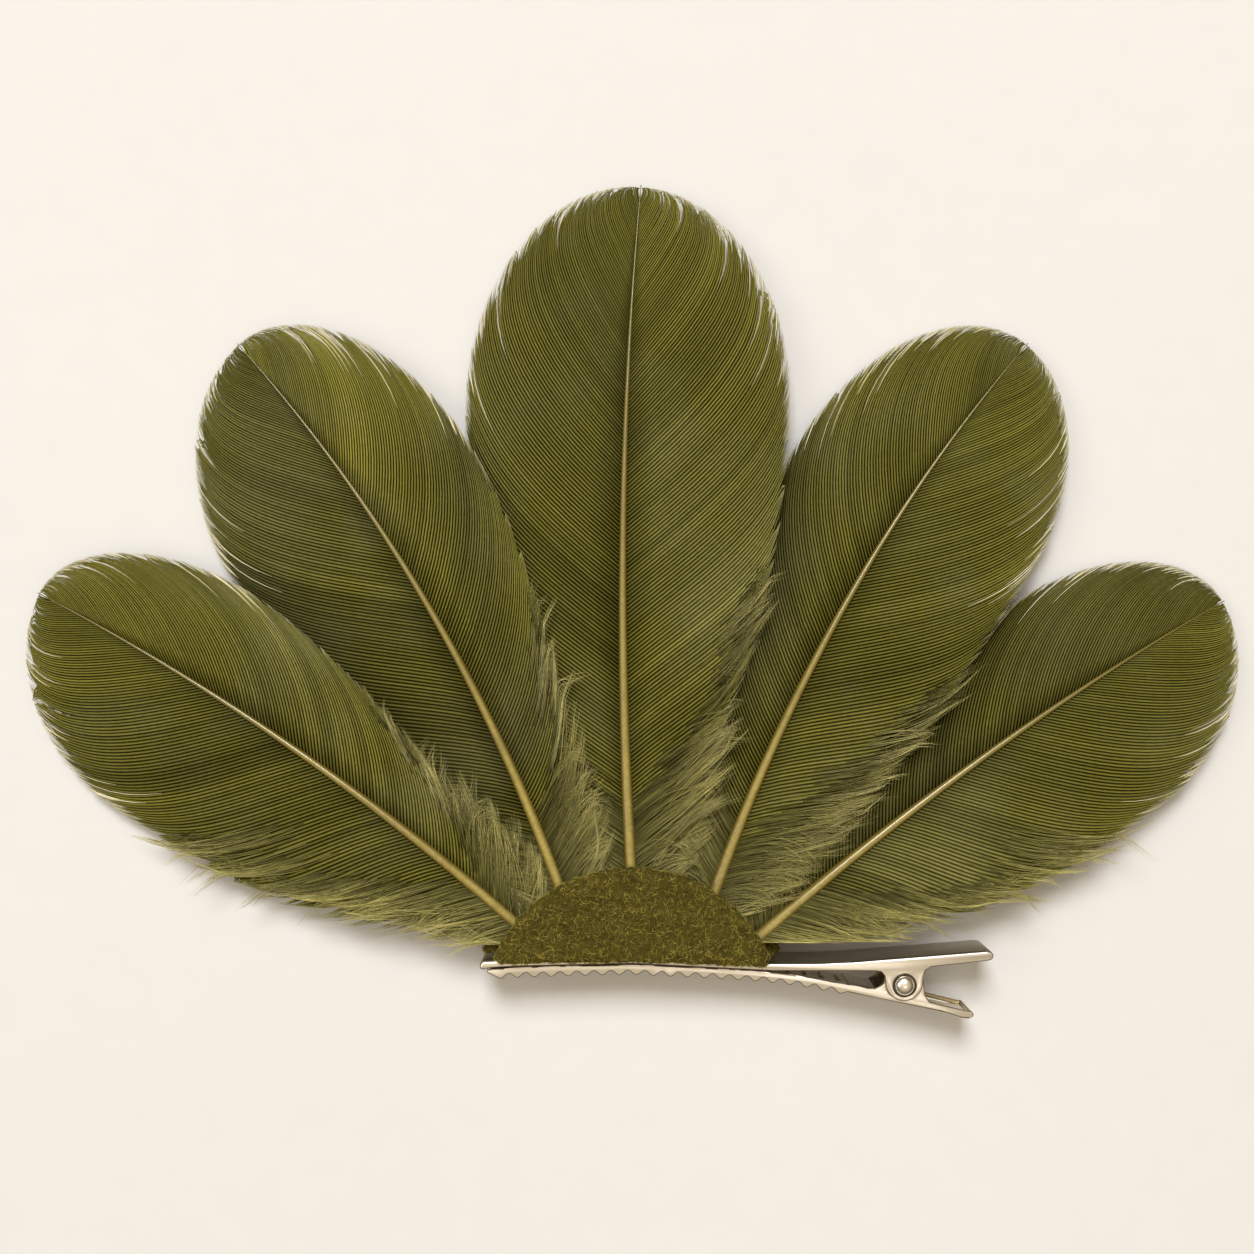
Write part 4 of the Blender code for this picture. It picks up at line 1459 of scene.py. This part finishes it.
def wisps(spec, side, size, random):
    """A few long pointed locks that stand out past the rim and over the next feather."""
    short = is_short(spec, side)
    locks = size.wisps * (2 if short else 1)
    strands = WISP_STRANDS
    count = locks * strands
    loose = spec["loose"][side > 0]
    each = each_strand(strands)
    middle = each(random.uniform(0.04, 1.15, locks) * loose)
    reach = np.linspace(0, 1, WISP_RINGS)[None, :]
    begin = each(random.uniform(0.35, 0.7, locks)) + random.normal(0, 0.05, (count, 1))
    longer = WISP_LONGER if short else 0.0
    length = each(random.uniform(1.08 + longer, 1.34 + longer, locks)) * random.uniform(0.88, 1.0, (count, 1))
    out = begin + (length - begin) * reach
    spread = random.normal(0, 0.011, (count, 1)) * (1 - 0.93 * smoothstep(reach))
    hook = each(random.normal(-0.018, 0.02, locks)) + random.normal(0, 0.003, (count, 1))
    share = middle + spread + hook * reach**2
    at = loose_barbs(spec, side, share, np.minimum(out, 1.0), WISP_FULLNESS)
    way = quill_way(spec, share)
    outward = np.stack([way[..., 1], -way[..., 0]], axis=-1) * side
    lean = each(random.uniform(0.2, 0.95, locks))[..., None]
    past = np.maximum(out - 1.0, 0.0)[..., None] * spec["width"][side > 0]
    at = at + (outward * lean + way * (1.2 - lean)) * past
    at = keep_above(spec, at + 0.12 * np.sin(reach * 7 + random.uniform(0, 6, (count, 1)))[..., None])
    layer = each(random.uniform(0.3, 1.3, locks))
    height = vane_height(spec, at) + RESTING_LIFT + 0.3 + layer * np.sin(np.pi * 0.7 * reach)
    paths = np.concatenate([at, height[..., None]], axis=-1)
    radius = size.strand / MM * 1.1 * (1 - 0.9 * reach**1.5) * random.uniform(0.6, 1.2, (count, 1))
    tone = each(random.uniform(0.8, 1.3, locks)) * random.uniform(0.6, 1.4, (count, 1)) * (0.55 + 0.7 * reach)
    pale = 0.3 + 0.6 * reach if short else 0.85 + 0.15 * reach
    return strands_along(paths, radius, tone * (1 + 2 * longer), pale)


def joined(parts):
    """Join (vertices, faces, shade) parts that have the same number of corners to a face."""
    verts, faces, shade = [], [], []
    shift = 0
    for v, f, s in parts:
        verts.append(v)
        faces.append(np.where(f >= 0, f + shift, -1))
        shade.append(s)
        shift += len(v)
    return np.concatenate(verts), np.concatenate(faces), np.concatenate(shade)


def quill_mesh(name, spec):
    """The shaft, from under the felt to its fine tip."""
    length = math.dist(spec["foot"], spec["tip"])
    share = np.linspace(-spec["tuck"] / length, QUILL_TIP, QUILL_STEPS)
    line = quill_line(spec, share)
    height = QUILL_HEIGHT - spec["drop"] * np.clip(share, 0, 1) ** 1.5
    radius = np.interp(share, [r[0] for r in QUILL_RADII], [r[1] for r in QUILL_RADII])
    height = height + QUILL_RISE * smoothstep(share / 0.5)
    path = np.concatenate([line, height[:, None]], axis=1)
    mesh = swept(name, path.tolist(), radius, 6, "Z_UP")
    places, normals = points_and_normals(mesh)
    way = (np.array(spec["tip"]) - np.array(spec["foot"])) / length
    aged = smoothstep((places[:, :2] / MM - np.array(spec["foot"])) @ way / length * 1.1)
    # Painted shade: vertices that face up are lighter, those on the sides darker
    crest = np.clip(normals[:, 2], 0, 1) ** 4
    paint(mesh, np.stack([aged, crest, crest, crest], axis=1))
    return mesh


class HAIRCLIP_OT_feathers(bpy.types.Operator):
    """Add the five feathers: quill, barbs and down"""

    bl_idname = "hairclip.feathers"
    bl_label = "Feathers"

    def execute(self, context):
        size = feather_sizes(context)
        barbs = bpy.data.materials["dyed_barbs"]
        fluff = bpy.data.materials["soft_down"]
        shaft = bpy.data.materials["dyed_quill"]
        for node, spec in FEATHERS.items():
            random = np.random.default_rng(spec["seed"])
            place = node.replace("feather_", "")
            put("quill_" + place, quill_mesh("quill_" + place, spec), shaft, CLIP_BODY, "olive_feather", node)
            sides = [(side, split_places(random, size.splits)) for side in (-1, 1)]
            closed = joined([vane(node, side, size, random, places) for side, places in sides])
            mesh = mesh_from_arrays("vanes_" + place, *closed)
            put("vanes_" + place, mesh, barbs, CLIP_BODY, "olive_feather", node)
            hairs = joined([fringe(spec, side, size, random, places) for side, places in sides])
            mesh = mesh_from_arrays("fringe_" + place, *hairs)
            put("fringe_" + place, mesh, barbs, CLIP_BODY, "olive_feather", node)
            loose = [make(spec, side, size, random) for make in (down, wisps) for side in (-1, 1)]
            loose = joined(loose)
            mesh = mesh_from_arrays("down_" + place, *loose)
            put("down_" + place, mesh, fluff, CLIP_BODY, "olive_feather", node)
        return {"FINISHED"}


# Felts


def felt_rim(top, radius, spread):
    """The curved rim of a felt."""
    return arc(FELT_CENTRE, top - radius, radius, 90 - spread, 90 + spread, FELT_ARC_STEPS)


def felt_mesh(name, rim, edge, back, front, size, seed):
    """A half-disc of felt with a soft edge and an uneven surface."""
    shape = prism(rim + edge, back, front)
    bevel(shape, cap_edges(shape, lambda x, y: True), size.felt_rounding, 4)
    bmesh.ops.triangulate(shape, faces=[f for f in shape.faces if len(f.verts) > 4])
    base = add(name, mesh_of(shape, name, smooth=False))
    grid = base.modifiers.new("grid", "REMESH")
    grid.mode = "VOXEL"
    grid.voxel_size = size.felt_grid
    mesh = evaluated(base)
    bpy.data.objects.remove(base)
    random = np.random.default_rng(seed)
    places, normals = points_and_normals(mesh)
    waves = np.zeros(len(places))
    for _ in range(FELT_WAVES):
        direction = random.normal(0, 1, 3)
        direction *= random.uniform(2500, 8500) / np.linalg.norm(direction)
        waves += np.sin(places @ direction + random.uniform(0, 6))
    places += normals * (waves * FELT_WAVE_HEIGHT * MM)[:, None]
    mesh.vertices.foreach_set("co", places.ravel())
    mesh.name = name
    mesh.shade_smooth()
    return mesh


def nap_mesh(name, felt, count, length, seed):
    """Curled loose fibres lying on a felt's surface, as one mesh."""
    random = np.random.default_rng(seed)
    felt.calc_loop_triangles()
    areas = np.array([f.area for f in felt.polygons])
    pick = random.choice(len(areas), count, p=areas / areas.sum())
    centre = np.array([felt.polygons[i].center for i in pick]) / MM
    normal = np.array([felt.polygons[i].normal for i in pick])
    across = np.cross(normal, random.normal(0, 1, (count, 3)))
    across /= np.linalg.norm(across, axis=1, keepdims=True)
    other = np.cross(normal, across)
    rings = NAP_RINGS
    t = np.linspace(-0.5, 0.5, rings)[None, :, None]
    span = random.uniform(0.4, 1.1, (count, 1, 1)) * length / MM
    curl = random.normal(0, 1.6, (count, 1, 1))
    bow = (t * t * 4 - 1) * 0.25 * curl
    hook = t**3 * random.normal(0, 4.0, (count, 1, 1))
    lift = 0.02 + random.uniform(0.0, 0.10, (count, 1, 1)) + 0.05 * (1 - 4 * t * t)
    places = centre[:, None] + across[:, None] * t * span + other[:, None] * (bow + hook) * span * 0.5
    places = places + normal[:, None] * lift
    radius = NAP_RADIUS * (1 - 3.2 * t[..., 0] ** 2) * random.uniform(0.7, 1.3, (count, 1))
    verts, faces = tubes(places, radius, 3, flat=False)
    tone = np.repeat(random.uniform(0.42, 1.0, count) ** 2.2 * 3.1, rings * 3)
    pale = np.repeat(random.random(count), rings * 3)
    shade = np.stack([np.ones_like(tone), tone, pale, np.ones_like(tone)], axis=-1)
    return mesh_from_arrays(name, verts, faces, shade)


class HAIRCLIP_OT_felts(bpy.types.Operator):
    """Add the cover felt and the backing felt, each with its nap"""

    bl_idname = "hairclip.felts"
    bl_label = "Felts"

    def execute(self, context):
        size = sizes(context)
        finishes = bpy.data.materials
        rim = felt_rim(COVER_TOP, COVER_RADIUS, COVER_SPREAD)
        mesh = felt_mesh("cover_felt", rim, COVER_EDGE, COVER_BACK, COVER_FRONT, size, 21)
        cover = put("cover_felt", mesh, finishes["cover_wool"], CLIP_BODY, "olive_felt", "felt_cover")
        nap = nap_mesh("cover_nap", mesh, size.nap, size.nap_length, 22)
        fuzz = put("cover_nap", nap, finishes["wool_fibre"], CLIP_BODY, "olive_felt", "felt_cover")
        rim = felt_rim(BACKING_TOP, BACKING_RADIUS, BACKING_SPREAD)
        mesh = felt_mesh("backing_felt", rim, BACKING_EDGE, BACKING_BACK, BACKING_FRONT, size, 23)
        backing = put("backing_felt", mesh, finishes["backing_wool"], CLIP_BODY, "olive_felt", "felt_backing")
        nap = nap_mesh("backing_nap", mesh, size.nap // 3, size.nap_length, 24)
        fuzz = put("backing_nap", nap, finishes["wool_fibre"], CLIP_BODY, "olive_felt", "felt_backing")
        return {"FINISHED"}


class HAIRCLIP_OT_materials(bpy.types.Operator):
    """Make the finishes that the pieces share"""

    bl_idname = "hairclip.materials"
    bl_label = "Finishes"

    def execute(self, context):
        dye_group()
        wear_group()
        barb_material(context)
        down_material(context)
        quill_material(context)
        felt_material(context, "cover_wool", 0.5)
        felt_material(context, "backing_wool", 0.6)
        nickel_material(context, "satin_nickel", 0.27, 1.0)
        nickel_material(context, "rivet_nickel", 0.2, 1.05)
        nickel_material(context, "spring_wire", 0.3, 0.85)
        floor_material(context)
        fibre_material(context)
        return {"FINISHED"}


class HAIRCLIP_OT_stage(bpy.types.Operator):
    """Add the pale floor, the soft lights and the camera"""

    bl_idname = "hairclip.stage"
    bl_label = "Stage"

    def execute(self, context):
        shape = bmesh.new()
        bmesh.ops.create_grid(shape, x_segments=2, y_segments=2, size=FLOOR_HALF)
        floor = add("floor", mesh_of(shape, "floor", smooth=False))
        floor.data.materials.append(bpy.data.materials["pale_floor"])
        floor.location.z = -FLOOR_DROP
        context.scene.view_settings.view_transform = "Standard"
        for lamp in LIGHTS:
            self.light(*lamp)
        context.scene.world = self.studio()
        lens = bpy.data.cameras.new("camera")
        lens.lens = LENS
        lens.sensor_width = SENSOR
        lens.clip_start = 0.01
        camera = add("camera", lens)
        camera.location = Vector(CAMERA_AT) * MM
        context.scene.camera = camera
        return {"FINISHED"}

    def studio(self):
        """A warm pale room, darker towards the horizon, seen by the camera as a plain backdrop."""
        world = bpy.data.worlds.new("studio")
        world.use_nodes = True
        tree = world.node_tree
        sky = tree.nodes["Background"]
        ways = tree.nodes.new("ShaderNodeTexCoord").outputs["Generated"]
        height = tree.nodes.new("ShaderNodeSeparateXYZ")
        tree.links.new(ways, height.inputs["Vector"])
        share = map_range(tree, height.outputs["Z"], 0.4, 0.97, 0.0, 1.0)
        colour = mix_colours(tree, share, ROOM_LOW, ROOM_HIGH)
        seen = tree.nodes.new("ShaderNodeLightPath").outputs["Is Camera Ray"]
        backdrop = mix_colours(tree, seen, colour, BACKDROP)
        tree.links.new(backdrop, sky.inputs["Color"])
        return world

    def light(self, name, at, width, power, colour):
        """A square area light that faces the fan."""
        lamp = bpy.data.lights.new(name, "AREA")
        lamp.size = width
        lamp.energy = power
        lamp.color = colour
        made = add(name, lamp)
        made.location = at
        middle = Vector(CAMERA_AT) * MM
        middle.z = 0.0
        made.rotation_euler = (middle - Vector(at)).to_track_quat("-Z", "Y").to_euler()


class HAIRCLIP_PT_panel(bpy.types.Panel):
    """Lists the sizes, the colours and the pieces"""

    bl_idname = "HAIRCLIP_PT_panel"
    bl_label = "Feather hair clip"
    bl_space_type = "VIEW_3D"
    bl_region_type = "UI"
    bl_category = "Hair clip"

    def draw(self, context):
        for group in (context.scene.clip_sizes, context.scene.feather_sizes, context.scene.clip_colours):
            box = self.layout.box()
            for name in group.bl_rna.properties.keys():
                if name not in ("rna_type", "name"):
                    box.prop(group, name)
        for operator in OPERATORS:
            self.layout.operator(operator.bl_idname)


OPERATORS = (
    HAIRCLIP_OT_materials,
    HAIRCLIP_OT_upper_lever,
    HAIRCLIP_OT_lower_lever,
    HAIRCLIP_OT_rivet,
    HAIRCLIP_OT_spring,
    HAIRCLIP_OT_felts,
    HAIRCLIP_OT_feathers,
    HAIRCLIP_OT_stage,
)
CLASSES = (ClipSizes, FeatherSizes, ClipColours, *OPERATORS, HAIRCLIP_PT_panel)


def register():
    """Register the classes and the scene's settings."""
    for item in CLASSES:
        bpy.utils.register_class(item)
    bpy.types.Scene.clip_sizes = bpy.props.PointerProperty(type=ClipSizes)
    bpy.types.Scene.feather_sizes = bpy.props.PointerProperty(type=FeatherSizes)
    bpy.types.Scene.clip_colours = bpy.props.PointerProperty(type=ClipColours)


def unregister():
    """Take the settings and the classes away again."""
    del bpy.types.Scene.clip_colours
    del bpy.types.Scene.feather_sizes
    del bpy.types.Scene.clip_sizes
    for item in reversed(CLASSES):
        bpy.utils.unregister_class(item)


def main():
    """Build every piece."""
    register()
    bpy.ops.hairclip.materials()
    bpy.ops.hairclip.upper_lever()
    bpy.ops.hairclip.lower_lever()
    bpy.ops.hairclip.rivet()
    bpy.ops.hairclip.spring()
    bpy.ops.hairclip.felts()
    bpy.ops.hairclip.feathers()
    bpy.ops.hairclip.stage()


if __name__ == "__main__":
    main()
